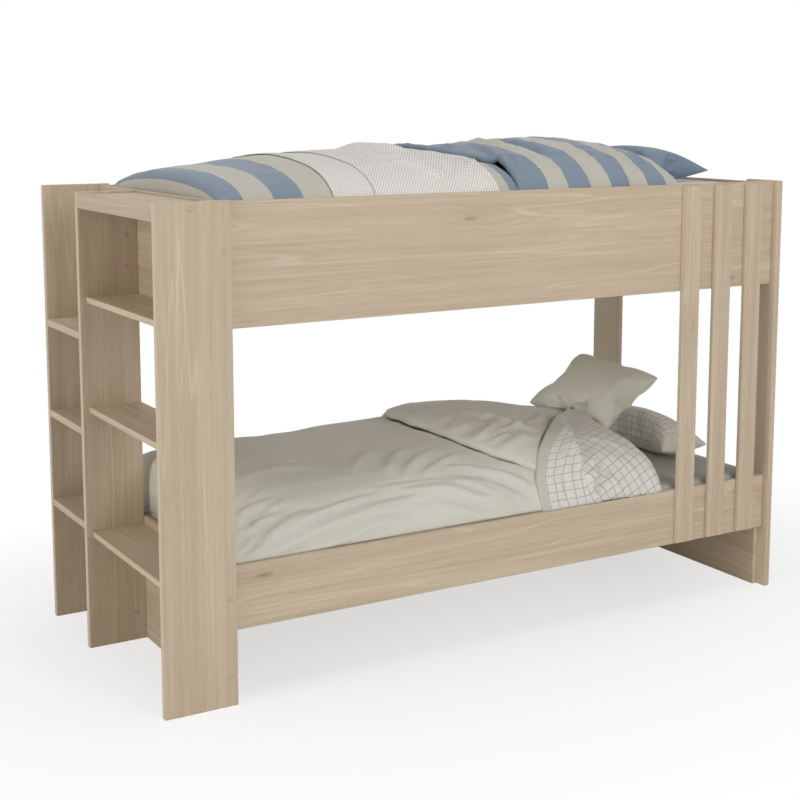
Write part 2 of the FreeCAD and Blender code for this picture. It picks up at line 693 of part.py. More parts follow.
def add_fitted_sheet(label, slat_top):
    """A skin round the mattress, open below: one domed block less a smaller one."""
    outer_bottom = slat_top + s.soft_gap
    outer_top = slat_top + s.soft_gap + s.mattress_height + sheet_skin
    outer = add_domed_block(label + "_outside", sheet_skin, outer_bottom, outer_top)
    inner = add_domed_block(label + "_inside", s.soft_gap, outer_bottom - s.sheet_thickness,
                            outer_top - s.sheet_thickness)
    sheet = doc.addObject("Part::Cut", label)
    sheet.Label = label
    sheet.Base = outer
    sheet.Tool = inner
    doc.recompute()
    pieces.append(sheet)


def add_domed_block(label, skin, bottom, top):
    """A block a skin larger than the mattress, bevelled on all edges but those of its bottom."""
    body = doc.addObject("PartDesign::Body", label)
    length = s.mattress_length + skin * 2
    width = s.mattress_width + skin * 2
    sketch = add_sketch(body, "Z", label + "_outline")
    draw_outline(sketch, [(ZERO, ZERO), (length, ZERO), (length, width), (ZERO, width)])
    pad = body.newObject("PartDesign::Pad", label + "_pad")
    pad.Profile = sketch
    pad.setExpression("Length", (top - bottom).text)
    doc.recompute()
    raised = [number for number, edge in enumerate(pad.Shape.Edges, start=1) if edge.BoundBox.ZMax > edge.Tolerance]
    arris = body.newObject("PartDesign::Chamfer", label + "_arris")
    arris.Base = (pad, ["Edge%d" % number for number in raised])
    arris.setExpression("Size", s.mattress_bevel.text)
    set_down(body, (mattress_foot - skin, mattress_front - skin, bottom))
    doc.recompute()
    return body


# Duvets and throw: crowned sections from front to back, joined along the bed

# outward direction of a section at its hem, side, shoulder and crest
OUTWARD_SHARES = ((1, 0), (0.77, 0.64), (0.35, 0.94), (0, 1))
# side and shoulder: inwards as a share of half the width, upwards as a share of the rise
CROWN_SHARES = ((0.09, 0.40), (0.33, 0.77))
hem = s.duvet_hem.value


def crown(place, front, back, base, rise, skin, drop=0):
    """A section across the bed: straight hems, rounded sides and a crest, grown outwards by a skin."""
    half = (back - front) / 2
    rows = [[], []]
    for row, edge, inward in ((rows[0], front, 1), (rows[1], back, -1)):
        points = [(0, 0)] + [(half * across, (rise - hem) * up) for across, up in CROWN_SHARES]
        for (across, up), (out, lift) in zip(points, OUTWARD_SHARES):
            row.append(FreeCAD.Vector(place, edge + inward * (across - skin * out), base + hem + up + skin * lift))
        row.insert(0, FreeCAD.Vector(place, edge - inward * skin, base - drop))
    crest = FreeCAD.Vector(place, (front + back) / 2, base + rise + skin)
    near, far = rows
    return Part.Wire([
        Part.makeLine(near[0], near[1]),
        Part.Arc(near[1], near[2], near[3]).toShape(),
        Part.Arc(near[3], crest, far[3]).toShape(),
        Part.Arc(far[3], far[2], far[1]).toShape(),
        Part.makeLine(far[1], far[0]),
        Part.makeLine(far[0], near[0]),
    ])


def lay_cover(stations, base, length, rise, skin=0, inset=0, drop=0):
    """A cover along the bed from (place, rise, front inset) shares, grown outwards by a skin."""
    front = (room_front + s.duvet_side_gap).value + inset
    back = (room_back - s.duvet_side_gap).value - inset
    foot = duvet_foot.value
    width = back - front
    wires = []
    for place_share, rise_share, front_share in stations:
        wires.append(crown(foot + length.value * place_share, front + width * front_share, back,
                           base.value, rise.value * rise_share, skin, drop))
    return Part.makeLoft(wires, True, True)


duvet_foot = room_foot + s.side_gap

# places along the upper duvet and its rise there, with the throw's edges among them
UPPER_DUVET_SHARES = (
    (0, 0.26, 0), (0.012, 0.43, 0), (0.055, 0.54, 0), (0.16, 0.64, 0), (0.203, 0.68, 0), (0.272, 0.75, 0),
    (0.35, 0.79, 0), (0.553, 0.81, 0), (0.585, 0.80, 0), (0.70, 0.78, 0),
)
UPPER_FOLD_SHARES = (
    (0.587, 0.84, 0), (0.60, 0.90, 0), (0.65, 0.95, 0), (0.75, 1, 0), (0.85, 0.96, 0), (0.91, 0.89, 0),
    (0.955, 0.74, 0), (0.985, 0.50, 0), (1, 0.22, 0),
)
THROW_SHARES = [row for row in UPPER_DUVET_SHARES if 0.203 <= row[0] <= 0.553]
THROW_LAP_SHARES = [row for row in THROW_SHARES if row[0] >= 0.272]

LOWER_DUVET_SHARES = (
    (0, 0.50, 0), (0.01, 0.66, 0), (0.052, 0.76, 0), (0.15, 0.79, 0), (0.273, 0.79, 0), (0.426, 0.835, 0),
    (0.551, 0.83, 0), (0.662, 0.76, 0), (0.856, 0.54, 0),
    (0.911, 0.47, 0.09), (0.967, 0.40, 0.30), (1, 0.22, 0.48),
)
LOWER_FOLD_SHARES = (
    (0.473, 0.90, 0), (0.512, 0.97, 0), (0.562, 1, 0), (0.623, 0.975, 0), (0.723, 0.90, 0),
    (0.82, 0.79, 0), (0.883, 0.66, 0), (0.955, 0.56, 0),
)
# outline of the fold seen from above: along the duvet, and from its front hem to the back
FOLD_PLAN_SHARES = (
    (0.473, 0.62), (0.512, 0.49), (0.551, 0.285), (0.565, 0), (0.606, 0.07), (0.662, 0.18),
    (0.714, 0.285), (0.828, 0.37), (0.883, 0.42), (0.955, 0.60), (0.955, 1.1), (0.473, 1.1),
)


def build_covers(rooms):
    """The duvets with their folded-back ends, and the throw laid double over the upper one."""
    length, rise = s.upper_duvet_length, s.upper_duvet_rise
    lift = s.fold_lift.value
    gap, layer = s.soft_gap.value, s.throw_thickness.value
    under = lay_cover(UPPER_DUVET_SHARES, upper_bed_top, length, rise)
    fold = lay_cover(UPPER_FOLD_SHARES, upper_bed_top, length, rise, inset=-lift)
    add_cover("upper_duvet", under.fuse(fold).cut(rooms["head_pillow"]))

    single = lay_cover(THROW_SHARES, upper_bed_top, length, rise, gap + layer)
    double = lay_cover(THROW_LAP_SHARES, upper_bed_top, length, rise, gap + layer * 2)
    core = lay_cover(THROW_SHARES, upper_bed_top, length, rise, gap, drop=layer)
    add_cover("throw", single.fuse(double).cut(core))

    length, rise = s.lower_duvet_length, s.lower_duvet_rise
    under = lay_cover(LOWER_DUVET_SHARES, lower_bed_top, length, rise)
    fold = lay_cover(LOWER_FOLD_SHARES, lower_bed_top, length, rise, inset=-lift)
    joined = under.fuse(fold.common(fold_plan()))
    add_cover("lower_duvet", joined.cut(rooms["cushion"]).cut(rooms["grid_pillow"]))


def fold_plan():
    """An upright block with the plan outline of the lower duvet's fold."""
    front = (room_front + s.duvet_side_gap - s.fold_lift * 2).value
    width = (room_width - s.duvet_side_gap * 2).value
    corners = []
    for place_share, across_share in FOLD_PLAN_SHARES:
        place = duvet_foot.value + s.lower_duvet_length.value * place_share
        corners.append(FreeCAD.Vector(place, front + width * across_share, lower_bed_top.value))
    face = Part.Face(Part.makePolygon(corners + corners[:1]))
    return face.extrude(FreeCAD.Vector(0, 0, s.lower_duvet_rise.value * 2))


def add_cover(label, shape):
    """A cover, modelled from foot, front and floor, set down like every other piece."""
    solid = shape.Solids[0] if len(shape.Solids) == 1 else shape
    add_shape(label, solid, FreeCAD.Placement(centred(ZERO, ZERO, ZERO), FreeCAD.Rotation()))


# Pillows and cushion: a crown above and a belly below one seam, with drawn-in sides

PILLOW_UPPER_SHARE = 0.65
# how far the middle of a side is drawn in, as a share of half the length or width
DRAWN_IN_SHARE = 0.09
PILLOW_STEPS = 4
# from one seam to the other, closer together where the form is steep
PILLOW_SHARES = [math.sin(math.pi / 2 * step / PILLOW_STEPS) for step in range(-PILLOW_STEPS, PILLOW_STEPS + 1)]


def pillow(length, width, height, room=0):
    """A stuffed pillow along Y about the middle of its seam, grown by some room on all sides."""
    seam = s.pillow_seam.value / 2 + room
    full = height.value - s.pillow_seam.value
    grids = []
    for side, share in ((1, PILLOW_UPPER_SHARE), (-1, 1 - PILLOW_UPPER_SHARE)):
        grid = []
        for along in PILLOW_SHARES:
            row = []
            for across in PILLOW_SHARES:
                crown_share = math.sqrt((1 - along ** 2) * (1 - across ** 2))
                drawn_width = 1 - DRAWN_IN_SHARE * (1 - along ** 2)
                drawn_length = 1 - DRAWN_IN_SHARE * (1 - across ** 2)
                row.append(FreeCAD.Vector(
                    across * (width.value / 2 + room) * drawn_width,
                    along * (length.value / 2 + room) * drawn_length,
                    side * (seam + full * share * crown_share)))
            grid.append(row)
        grids.append(grid)
    return close_up(*grids)


def close_up(above, below):
    """A solid of flat facets between two grids of points that share their outline's plan."""
    last = len(above) - 1
    facets = []
    for row in range(last):
        for column in range(last):
            for grid in (above, below):
                quad = [grid[row][column], grid[row][column + 1], grid[row + 1][column + 1], grid[row + 1][column]]
                facets.extend(split(quad, row + column))
    for step in range(last):
        for first, second in (((0, step), (0, step + 1)), ((last, step), (last, step + 1)),
                              ((step, 0), (step + 1, 0)), ((step, last), (step + 1, last))):
            quad = [above[first[0]][first[1]], above[second[0]][second[1]],
                    below[second[0]][second[1]], below[first[0]][first[1]]]
            facets.extend(split(quad, 0))
    shell = Part.makeShell([Part.Face(Part.makePolygon(corners + corners[:1])) for corners in facets])
    shell.sewShape()
    solid = Part.Solid(shell)
    if solid.Volume < 0:
        solid.reverse()
    return solid


def split(quad, turn):
    """Two triangles of a quad, cut along alternate diagonals."""
    a, b, c, d = quad
    return [[a, b, c], [a, c, d]] if turn % 2 else [[a, b, d], [b, c, d]]


def seam_height(bed_top, height):
    return bed_top + (height - s.pillow_seam) * (1 - PILLOW_UPPER_SHARE) + s.pillow_seam / 2


def build_pillows():
    """Place the pillows and return the room that each needs, from foot, front and floor."""
    cushion_turn = FreeCAD.Rotation(*CUSHION_TURN)
    beds = {
        "head_pillow": (s.head_pillow_length, s.head_pillow_width, s.head_pillow_height,
                        (s.head_pillow_reach, s.head_pillow_depth,
                         seam_height(upper_bed_top, s.head_pillow_height)), FreeCAD.Rotation()),
        "grid_pillow": (s.grid_pillow_length, s.grid_pillow_width, s.grid_pillow_height,
                        (s.grid_pillow_reach, s.grid_pillow_depth,
                         seam_height(lower_bed_top, s.grid_pillow_height)), FreeCAD.Rotation()),
        "cushion": (s.cushion_side, s.cushion_side, s.cushion_height,
                    (s.cushion_reach, s.cushion_depth, s.cushion_lift), cushion_turn),
    }
    rooms = {}
    for label, (length, width, height, place, turn) in beds.items():
        add_shape(label, pillow(length, width, height), FreeCAD.Placement(centred(*place), turn))
        room = pillow(length, width, height, s.soft_gap.value)
        room.Placement = FreeCAD.Placement(FreeCAD.Vector(*[size.value for size in place]), turn)
        rooms[label] = room
    return rooms


# degrees about Z, then Y, then X
CUSHION_TURN = (-72, 8, 24)


# The whole bed

panels = {}
for group in (build_bookcase(), build_end_boards(), build_rails(), build_posts()):
    panels.update(group)
build_guard_slats()
build_ledgers()
add_bolts(panels)
add_cam_locks(panels)
add_dowels(panels)
build_slat_bases()
build_mattresses()
build_covers(build_pillows())
doc.recompute()


# Every object must have recomputed, and every piece must be sound, before any is written

for item in doc.Objects:
    if "Invalid" in item.State or "Error" in item.State:
        raise RuntimeError(item.Name + " did not recompute")
for item in pieces:
    if item.Shape.isNull() or not item.Shape.isValid() or not item.Shape.Solids:
        raise RuntimeError(item.Label + " is not sound")
os.makedirs("parts", exist_ok=True)
for item in pieces:
    item.Shape.exportStep("parts/%s.step" % item.Label)
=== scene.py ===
import math

import bmesh
import bpy
import numpy as np
from mathutils import Matrix, Vector


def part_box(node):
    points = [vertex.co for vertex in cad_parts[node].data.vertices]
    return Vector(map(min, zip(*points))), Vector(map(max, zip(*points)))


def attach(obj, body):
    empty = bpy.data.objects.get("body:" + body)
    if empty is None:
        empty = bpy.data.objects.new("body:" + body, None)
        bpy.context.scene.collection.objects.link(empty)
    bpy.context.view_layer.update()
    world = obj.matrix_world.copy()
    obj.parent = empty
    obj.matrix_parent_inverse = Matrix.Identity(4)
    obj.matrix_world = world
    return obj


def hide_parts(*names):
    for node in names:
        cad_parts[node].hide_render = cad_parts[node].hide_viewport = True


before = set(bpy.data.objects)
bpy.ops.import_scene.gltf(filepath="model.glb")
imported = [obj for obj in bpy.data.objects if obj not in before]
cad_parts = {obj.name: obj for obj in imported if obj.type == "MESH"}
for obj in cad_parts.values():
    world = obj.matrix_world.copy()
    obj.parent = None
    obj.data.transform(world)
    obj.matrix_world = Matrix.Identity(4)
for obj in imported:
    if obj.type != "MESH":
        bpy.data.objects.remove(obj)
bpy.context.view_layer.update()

# Metres, in the frame of the CAD model: +X towards the head end, the open front faces -Y.
# Places below count in millimetres from the bed's foot end, its front face and the floor.
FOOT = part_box("front_board")[0].x
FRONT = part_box("front_board")[0].y
CORNER = np.array([FOOT, FRONT, 0.0])
MM = 0.001


# Node helpers

class Signal:
    """What a node gives out. Plain arithmetic on it adds nodes."""

    def __init__(self, graph, socket):
        self.graph = graph
        self.socket = socket

    def __add__(self, other):
        return self.graph.math("ADD", self, other)

    def __sub__(self, other):
        return self.graph.math("SUBTRACT", self, other)

    def __rsub__(self, other):
        return self.graph.math("SUBTRACT", other, self)

    def __mul__(self, other):
        return self.graph.math("MULTIPLY", self, other)

    def __truediv__(self, other):
        return self.graph.math("DIVIDE", self, other)

    def __abs__(self):
        return self.graph.math("ABSOLUTE", self)


class Graph:
    """The node tree of a material or world, with short ways to add and link nodes."""

    def __init__(self, owner):
        self.owner = bpy.data.materials.new(owner) if isinstance(owner, str) else owner
        self.owner.use_nodes = True
        self.tree = self.owner.node_tree

    def set(self, socket, value):
        if isinstance(value, Signal):
            self.tree.links.new(value.socket, socket)
        else:
            socket.default_value = value

    def node(self, kind, output, inputs=(), **settings):
        """What a new node gives out, one output or a tuple of them, with its inputs by name or number."""
        made = self.tree.nodes.new("ShaderNode" + kind)
        for key, value in settings.items():
            setattr(made, key, value)
        for key, value in dict(inputs).items():
            self.set(made.inputs[key], value)
        if isinstance(output, tuple):
            return [Signal(self, made.outputs[key]) for key in output]
        return Signal(self, made.outputs[output])

    def show(self, name, shader):
        """Link a shader to the output node of that name."""
        self.set(self.tree.nodes[name].inputs["Surface"], shader)

    def math(self, kind, a, b=0.0):
        return self.node("Math", 0, {0: a, 1: b}, operation=kind)

    def noise(self, vector, detail=3.0, roughness=0.55, distortion=0.0):
        inputs = {"Vector": vector, "Scale": 1.0, "Detail": detail, "Roughness": roughness,
                  "Distortion": distortion}
        return self.node("TexNoise", "Fac", inputs)

    def stretch(self, vector, *scale):
        return self.node("Mapping", "Vector", {"Vector": vector, "Scale": scale})

    def range(self, value, low, high, to_low=0.0, to_high=1.0):
        inputs = {"Value": value, "From Min": low, "From Max": high, "To Min": to_low, "To Max": to_high}
        return self.node("MapRange", "Result", inputs, clamp=True)

    def mix(self, share, first, second, blend="MIX"):
        inputs = {"Factor": share, "A": first, "B": second}
        return self.node("Mix", "Result", inputs, data_type="RGBA", blend_type=blend)

    def split(self, vector):
        return self.node("SeparateXYZ", (0, 1, 2), {0: vector})

    def join(self, x, y, z=0.0):
        return self.node("CombineXYZ", 0, {0: x, 1: y, 2: z})

    def bump(self, height, strength, distance, **normal):
        inputs = {"Strength": strength, "Distance": distance, "Height": height, **normal}
        return self.node("Bump", "Normal", inputs)

    def place(self):
        return self.node("TexCoord", "Object")

    def specks(self, fineness, detail=3.0):
        """Noise that is alike in all directions."""
        return self.noise(self.stretch(self.place(), fineness, fineness, fineness), detail)

    def pattern(self):
        return self.node("UVMap", "UV", uv_map="cloth")

    def finish(self, color, roughness, normal=None, **constants):
        """Set the shader's sockets and give the material."""
        sockets = self.tree.nodes["Principled BSDF"].inputs
        self.set(sockets["Base Color"], color)
        self.set(sockets["Roughness"], roughness)
        if normal is not None:
            self.set(sockets["Normal"], normal)
        for name, value in constants.items():
            sockets[name.replace("_", " ")].default_value = value
        return self.owner


def rgb(red, green, blue):
    """A linear colour from the usual 0 to 255 screen values."""
    return tuple(((v / 255 + 0.055) / 1.055) ** 2.4 for v in (red, green, blue)) + (1.0,)


# Materials

# the width of a decor plank and the radius of a board's edges, in metres
PLANK, EDGE_RADIUS = 0.092, 0.0018


def wood(name, along):
    """A graph, with the places along the grain and along the two other axes."""
    g = Graph(name)
    parts = g.split(g.place())
    return g, parts[along], parts[(along + 1) % 3], parts[(along + 2) % 3]


def greyed_oak(name, along, tint=1.0, highlight_axis=None):
    """Pale greyed oak decor, its grain along one axis (0, 1 or 2), with a painted highlight on the edge
    faces that look along the axis given for it.
    """
    g, run, one, two = wood(name, along)
    cross = one + two
    depth = one - two

    def grain(lengthwise, crosswise, detail, rough=0.55, shift=0.0):
        place = g.join(run * lengthwise + shift, cross * crosswise, depth * (crosswise * 0.6))
        return g.noise(place, detail, rough)

    # planks side by side, each with a tone of its own
    plank = g.math("FLOOR", cross / PLANK)
    tone = g.node("TexWhiteNoise", "Value", {"W": plank}, noise_dimensions="1D")
    shift = tone * 23.0
    local = cross - plank * PLANK - PLANK / 2
    joint = g.range(PLANK / 2 - abs(local), 0.0, 0.0012, 1.0, 0.0)

    # flames: arcs that stack along the middle of a plank and run out straight beside it
    drift = grain(1.6, 9.0, 2.0, 0.5, shift)
    middle = local - (tone - 0.5) * 0.05
    cup = middle * middle * 210.0
    field = run * 0.8 + cup + drift * 1.5
    rings = g.range(g.math("SINE", field * 46.0), -0.3, 1.0)
    where = g.range(grain(0.9, 5.0, 1.0, 0.5, shift), 0.46, 0.64, 0.15, 1.0)
    flame = rings * where

    band = grain(0.8, 24.0, 3.0, 0.5, shift)
    streak = grain(2.2, 90.0, 4.0, 0.6, shift)
    fibre = grain(7.0, 420.0, 3.0, 0.6)
    pore = g.range(grain(26.0, 760.0, 2.0, 0.5), 0.61, 0.70)
    pale = g.range(abs(grain(0.7, 11.0, 1.0, 0.4, shift) - 0.56), 0.0, 0.014, 1.0, 0.0)
    cloud = grain(2.6, 7.0, 2.0)

    # a few small knots, each in a darker drawn-out patch
    spots = g.join(run * 1.9, cross * 6.3, depth * 2.0)
    inputs = {"Vector": spots, "Scale": 1.0}
    far, chance = g.node("TexVoronoi", ("Distance", "Color"), inputs, voronoi_dimensions="3D")
    odds = g.math("GREATER_THAN", g.split(chance)[0], 0.45)
    knot = g.range(far, 0.02, 0.07, 1.0, 0.0) * odds
    patch = g.range(far, 0.05, 0.34, 1.0, 0.0) * odds

    light = rgb(206 * tint, 189 * tint, 165 * tint)
    plain = rgb(191 * tint, 172 * tint, 147 * tint)
    dark = rgb(163 * tint, 141 * tint, 114 * tint)
    color = g.mix(g.range(band, 0.30, 0.70), plain, light)
    for share, ink in (
        (g.range(streak, 0.42, 0.72, 0.0, 0.34), dark),
        (g.range(cloud, 0.45, 0.75, 0.0, 0.16), rgb(176, 158, 130)),
        (flame * 0.17, dark),
        (g.range(fibre, 0.46, 0.72, 0.0, 0.22), dark),
        (pore * 0.28, dark),
        (pale * 0.34, rgb(224, 211, 192)),
        (tone * 0.15, rgb(178, 159, 133)),
        (joint * 0.16, rgb(220, 207, 188)),
        (patch * 0.16, dark),
        (knot * 0.55, rgb(132, 110, 88)),
    ):
        color = g.mix(share, color, ink)
    if highlight_axis is not None:
        # painted highlight: edge faces that look along the given axis are painted paler
        facing = g.split(g.node("NewGeometry", "Normal"))[highlight_axis]
        edge_highlight = g.range(abs(facing), 0.7, 0.9, 0.0, 0.45)
        color = g.mix(edge_highlight, color, rgb(226, 210, 188))
    edge = g.node("Bevel", "Normal", {"Radius": EDGE_RADIUS}, samples=4)
    normal = g.bump(fibre * 0.6 - pore, 0.16, 0.0006, Normal=edge)
    return g.finish(color, g.range(fibre, 0.3, 0.7, 0.50, 0.62), normal)


def softwood(name, along):
    """Planed pale softwood of the ledgers and bed slats."""
    g, run, one, two = wood(name, along)
    lines = g.join(run * 1.2, one * 26.0, two * 26.0)
    rings = g.math("SINE", g.noise(lines, 2.0, 0.4, 0.2) * 44.0)
    fibre = g.noise(g.join(run * 6.0, one * 240.0, two * 240.0), 3.0)
    color = g.mix(g.range(rings, -0.3, 1.0, 0.0, 0.6), rgb(226, 203, 164), rgb(202, 170, 124))
    color = g.mix(g.range(fibre, 0.4, 0.7, 0.0, 0.35), color, rgb(188, 154, 108))
    return g.finish(color, 0.62, g.bump(fibre, 0.25, 0.0006))


def cloth(name, base, weave=900.0, mottle=0.10, slub=0.5, layers=()):
    """Woven cotton. Its pattern runs in metres along and across the cloth; layers paint over the base."""
    g = Graph(name)
    uv = g.pattern()
    parts = g.split(uv)
    warp, weft = [g.math("SINE", part * (weave * 2.0)) for part in parts[:2]]
    along = g.noise(g.stretch(uv, 6.0, 300.0, 1.0), 3.0)
    across = g.noise(g.stretch(uv, 300.0, 6.0, 1.0), 3.0)
    slubs = (along + across) * 0.5
    blotch = g.noise(g.stretch(uv, 5.0, 5.0, 1.0), 4.0)
    color = base
    for paint in layers:
        color = paint(g, parts, color)
    shade = g.mix(1.0, color, (0.80, 0.79, 0.78, 1.0), "MULTIPLY")
    color = g.mix(g.range(slubs, 0.40, 0.62, 0.0, slub), color, shade)
    color = g.mix(g.range(blotch, 0.3, 0.7, 0.0, mottle * 2.0), color, shade)
    normal = g.bump(warp * weft * 0.35 + slubs * 1.2, 0.30, 0.0006)
    return g.finish(color, 0.88, normal, Sheen_Weight=0.25, Sheen_Roughness=0.5)


# in metres: how far a stripe's edge and a thin line wander, and how soft a stripe's and a border's edges are
STRIPE_DRIFT, LINE_DRIFT, STRIPE_SOFT, BORDER_SOFT = 0.0024, 0.0016, 0.0008, 0.0006


def stripes(edges, first, second):
    """Wide woven stripes that change over at each edge, given in millimetres along the cloth."""
    def paint(g, parts, color):
        u, v, _ = parts
        place = u + (g.noise(g.join(v * 260.0, u), 2.0) - 0.5) * STRIPE_DRIFT
        count = 0.0
        for edge in edges:
            count = g.range(place, edge * MM - STRIPE_SOFT, edge * MM + STRIPE_SOFT) + count
        return g.mix(g.math("PINGPONG", count, 1.0), first, second)
    return paint


def thin_grid(pitch, width, ink, strength):
    """Thin woven lines that cross in squares."""
    def paint(g, parts, color):
        u, v, _ = parts
        marks = []
        for part, other in ((u, v), (v, u)):
            drift = g.noise(g.join(other * 30.0, part * 4.0), 2.0)
            place = part + drift * LINE_DRIFT
            away = g.math("PINGPONG", place, pitch / 2)
            marks.append(g.range(away, width * 0.35, width * 0.65, 1.0, 0.0))
        breaks = g.noise(g.join(u * 500.0, v * 500.0))
        mark = g.math("MAXIMUM", *marks) * g.range(breaks, 0.2, 0.6, 0.55, 1.0)
        return g.mix(mark * strength, color, ink)
    return paint


def strip(low, high, tint, axis=0):
    """A plain band between two places along (0) or across (1) the cloth."""
    def paint(g, parts, color):
        after = g.range(parts[axis], low - BORDER_SOFT, low + BORDER_SOFT)
        before = g.range(parts[axis], high - BORDER_SOFT, high + BORDER_SOFT, 1.0, 0.0)
        return g.mix(after * before, color, tint)
    return paint


# the distance between the throw's raised threads in metres, and how far its weave leans
WAFFLE_PITCH, WAFFLE_SKEW = 0.0100, 0.36


def waffle(name, base, shadow):
    """Loose weave with raised threads that cross in small diamonds, with painted shade in the hollows
    between them.
    """
    g = Graph(name)
    uv = g.pattern()
    u, v, _ = g.split(uv)
    turn = math.pi / WAFFLE_PITCH
    askew = u - v * WAFFLE_SKEW
    one = g.math("SINE", (askew + v) * turn)
    two = g.math("SINE", (askew - v) * turn)
    raised = g.math("MAXIMUM", abs(one), abs(two))
    fuzz = g.noise(g.stretch(uv, 420.0, 420.0, 1.0), 3.0)
    hollow = g.range(raised, 0.52, 0.90, 1.0, 0.0)
    # painted shade: the hollows between the raised threads are painted towards the shadow colour
    color = g.mix(hollow * 0.66, base, shadow)
    color = g.mix(g.range(fuzz, 0.35, 0.7, 0.0, 0.16), color, shadow)
    height = hollow * -1.0 + fuzz * 0.3
    return g.finish(color, 0.92, g.bump(height, 0.5, 0.0014), Sheen_Weight=0.3, Sheen_Roughness=0.6)


def metal(name, color, roughness):
    """Zinc, finely grained and a little stained."""
    g = Graph(name)
    grain = g.specks(900.0)
    stain = g.specks(60.0)
    tone = g.mix(g.range(stain, 0.35, 0.7, 0.0, 0.5), color, rgb(150, 147, 140))
    rough = g.range(grain, 0.3, 0.7, roughness - 0.07, roughness + 0.09)
    return g.finish(tone, rough, g.bump(grain, 0.15, 0.0002), Metallic=1.0)


def plastic(name, color):
    """Fine-grained plastic of the bolt caps."""
    g = Graph(name)
    grain = g.specks(1400.0, 2.0)
    tone = g.mix(g.range(grain, 0.3, 0.7, 0.0, 0.2), color, rgb(150, 133, 112))
    return g.finish(tone, 0.5, g.bump(grain, 0.2, 0.0002))


BLUE = rgb(126, 141, 157)
GREIGE = rgb(193, 189, 176)
SAGE = rgb(211, 209, 197)
# the sage outer cloth of the flap's hem, painted darker than the sage: real cloth with painted shade on its
# rounded edge
SAGE_HEM_SHADED = rgb(196, 194, 180)
WHITE = rgb(218, 215, 207)
INK = rgb(98, 96, 92)
BORDER = rgb(246, 244, 230)

# the flap's foot edge shows a strip of the duvet's sage outer cloth this wide, in metres; the strip is
# painted a darker sage as painted shade on its rounded edge
HEM = 0.026

# stripe edges along the upper duvet, from the foot end of the bed
FOOT_STRIPES = [204, 280, 371, 464, 556, 1060, 1166]
HEAD_STRIPES = [1313, 1388, 1472, 1555, 1630, 1707, 1784, 1860]

material = {
    "oak_up": greyed_oak("greyed_oak_upright", 2, highlight_axis=0),
    # painted light: the shelves and steps get a copy of the oak painted paler than the other boards
    "shelf_oak_painted_lighter": greyed_oak("greyed_shelf_oak_painted_lighter", 1, tint=1.07),
    "oak_along": greyed_oak("greyed_oak_along", 0),
    "oak_across": greyed_oak("greyed_oak_across", 1),
    "pine_along": softwood("pale_pine_along", 0),
    "pine_across": softwood("pale_pine_across", 1),
    "white_sheet": cloth("white_sheet", rgb(216, 215, 211), mottle=0.06),
    "grey_sheet": cloth("grey_sheet", rgb(182, 180, 176), mottle=0.12),
    "striped_foot": cloth("striped_cotton", GREIGE, layers=[stripes(FOOT_STRIPES, GREIGE, BLUE)]),
    "striped_head": cloth("striped_cotton_turned", GREIGE, layers=[stripes(HEAD_STRIPES, BLUE, GREIGE)]),
    "sage": cloth("sage_cotton", SAGE, slub=0.22),
    "gridded": cloth("gridded_cotton", WHITE, slub=0.3, layers=[
        thin_grid(0.030, 0.0023, INK, 0.70), strip(-0.05, HEM, SAGE_HEM_SHADED)]),
    "grid_pillow": cloth("grid_cotton", rgb(253, 250, 243), slub=0.3, mottle=0.06, layers=[
        thin_grid(0.022, 0.0020, INK, 0.50), strip(-0.24, -0.182, BORDER, axis=1)]),
    "blue": cloth("blue_cotton", rgb(120, 137, 158)),
    "cushion": cloth("sage_cushion", rgb(234, 234, 220), weave=600.0),
    # the throw's dark second colour is painted shade for the hollows of its weave
    "throw": waffle("cream_waffle", rgb(241, 235, 229), rgb(112, 102, 96)),
    "ticking": cloth("mattress_ticking", rgb(226, 223, 214)),
    "webbing": cloth("slat_webbing", rgb(214, 212, 204)),
    "zinc": metal("zinc_steel", rgb(196, 196, 190), 0.34),
    "casting": metal("zinc_casting", rgb(186, 186, 184), 0.42),
    "caps": plastic("cap_plastic", rgb(190, 172, 148)),
    "beech": softwood("beech_dowel", 0),
}


# CAD pieces get their finish

LEDGERS = ["front_upper_ledger", "back_upper_ledger", "front_lower_ledger", "back_lower_ledger"]
FINISH = {
    "oak_up": ["front_board", "middle_board", "back_board", "front_head_post", "back_head_post",
               "guard_slat_1", "guard_slat_2", "guard_slat_3"],
    "oak_along": ["front_upper_rail", "front_lower_rail", "back_upper_rail", "back_lower_rail"],
    "shelf_oak_painted_lighter": ["low_shelf", "mid_shelf", "high_shelf", "low_step", "mid_step", "high_step"],
    "oak_across": ["fascia", "top_shelf", "lower_foot_board", "upper_foot_board", "lower_head_board",
                   "upper_head_board"],
    "pine_along": LEDGERS,
    "pine_across": ["upper_bed_slats", "lower_bed_slats"],
    "webbing": ["upper_slat_tapes", "lower_slat_tapes"],
    "zinc": ["connector_bolts", "barrel_nuts", "cam_bolts"],
    "casting": ["cam_locks"],
    "caps": ["bolt_caps"],
    "beech": ["fascia_dowels"],
}
for finish, names in FINISH.items():
    for name in names:
        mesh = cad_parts[name].data
        mesh.materials.clear()
        mesh.materials.append(material[finish])


# Mesh helpers

def eased(t):
    """0 to 1 with a soft start and end."""
    return t * t * (3 - 2 * t)


def running(steps, axis=0):
    """Sums of steps along an axis, from 0."""
    return np.concatenate([0 * steps.take([0], axis), np.cumsum(steps, axis)], axis)


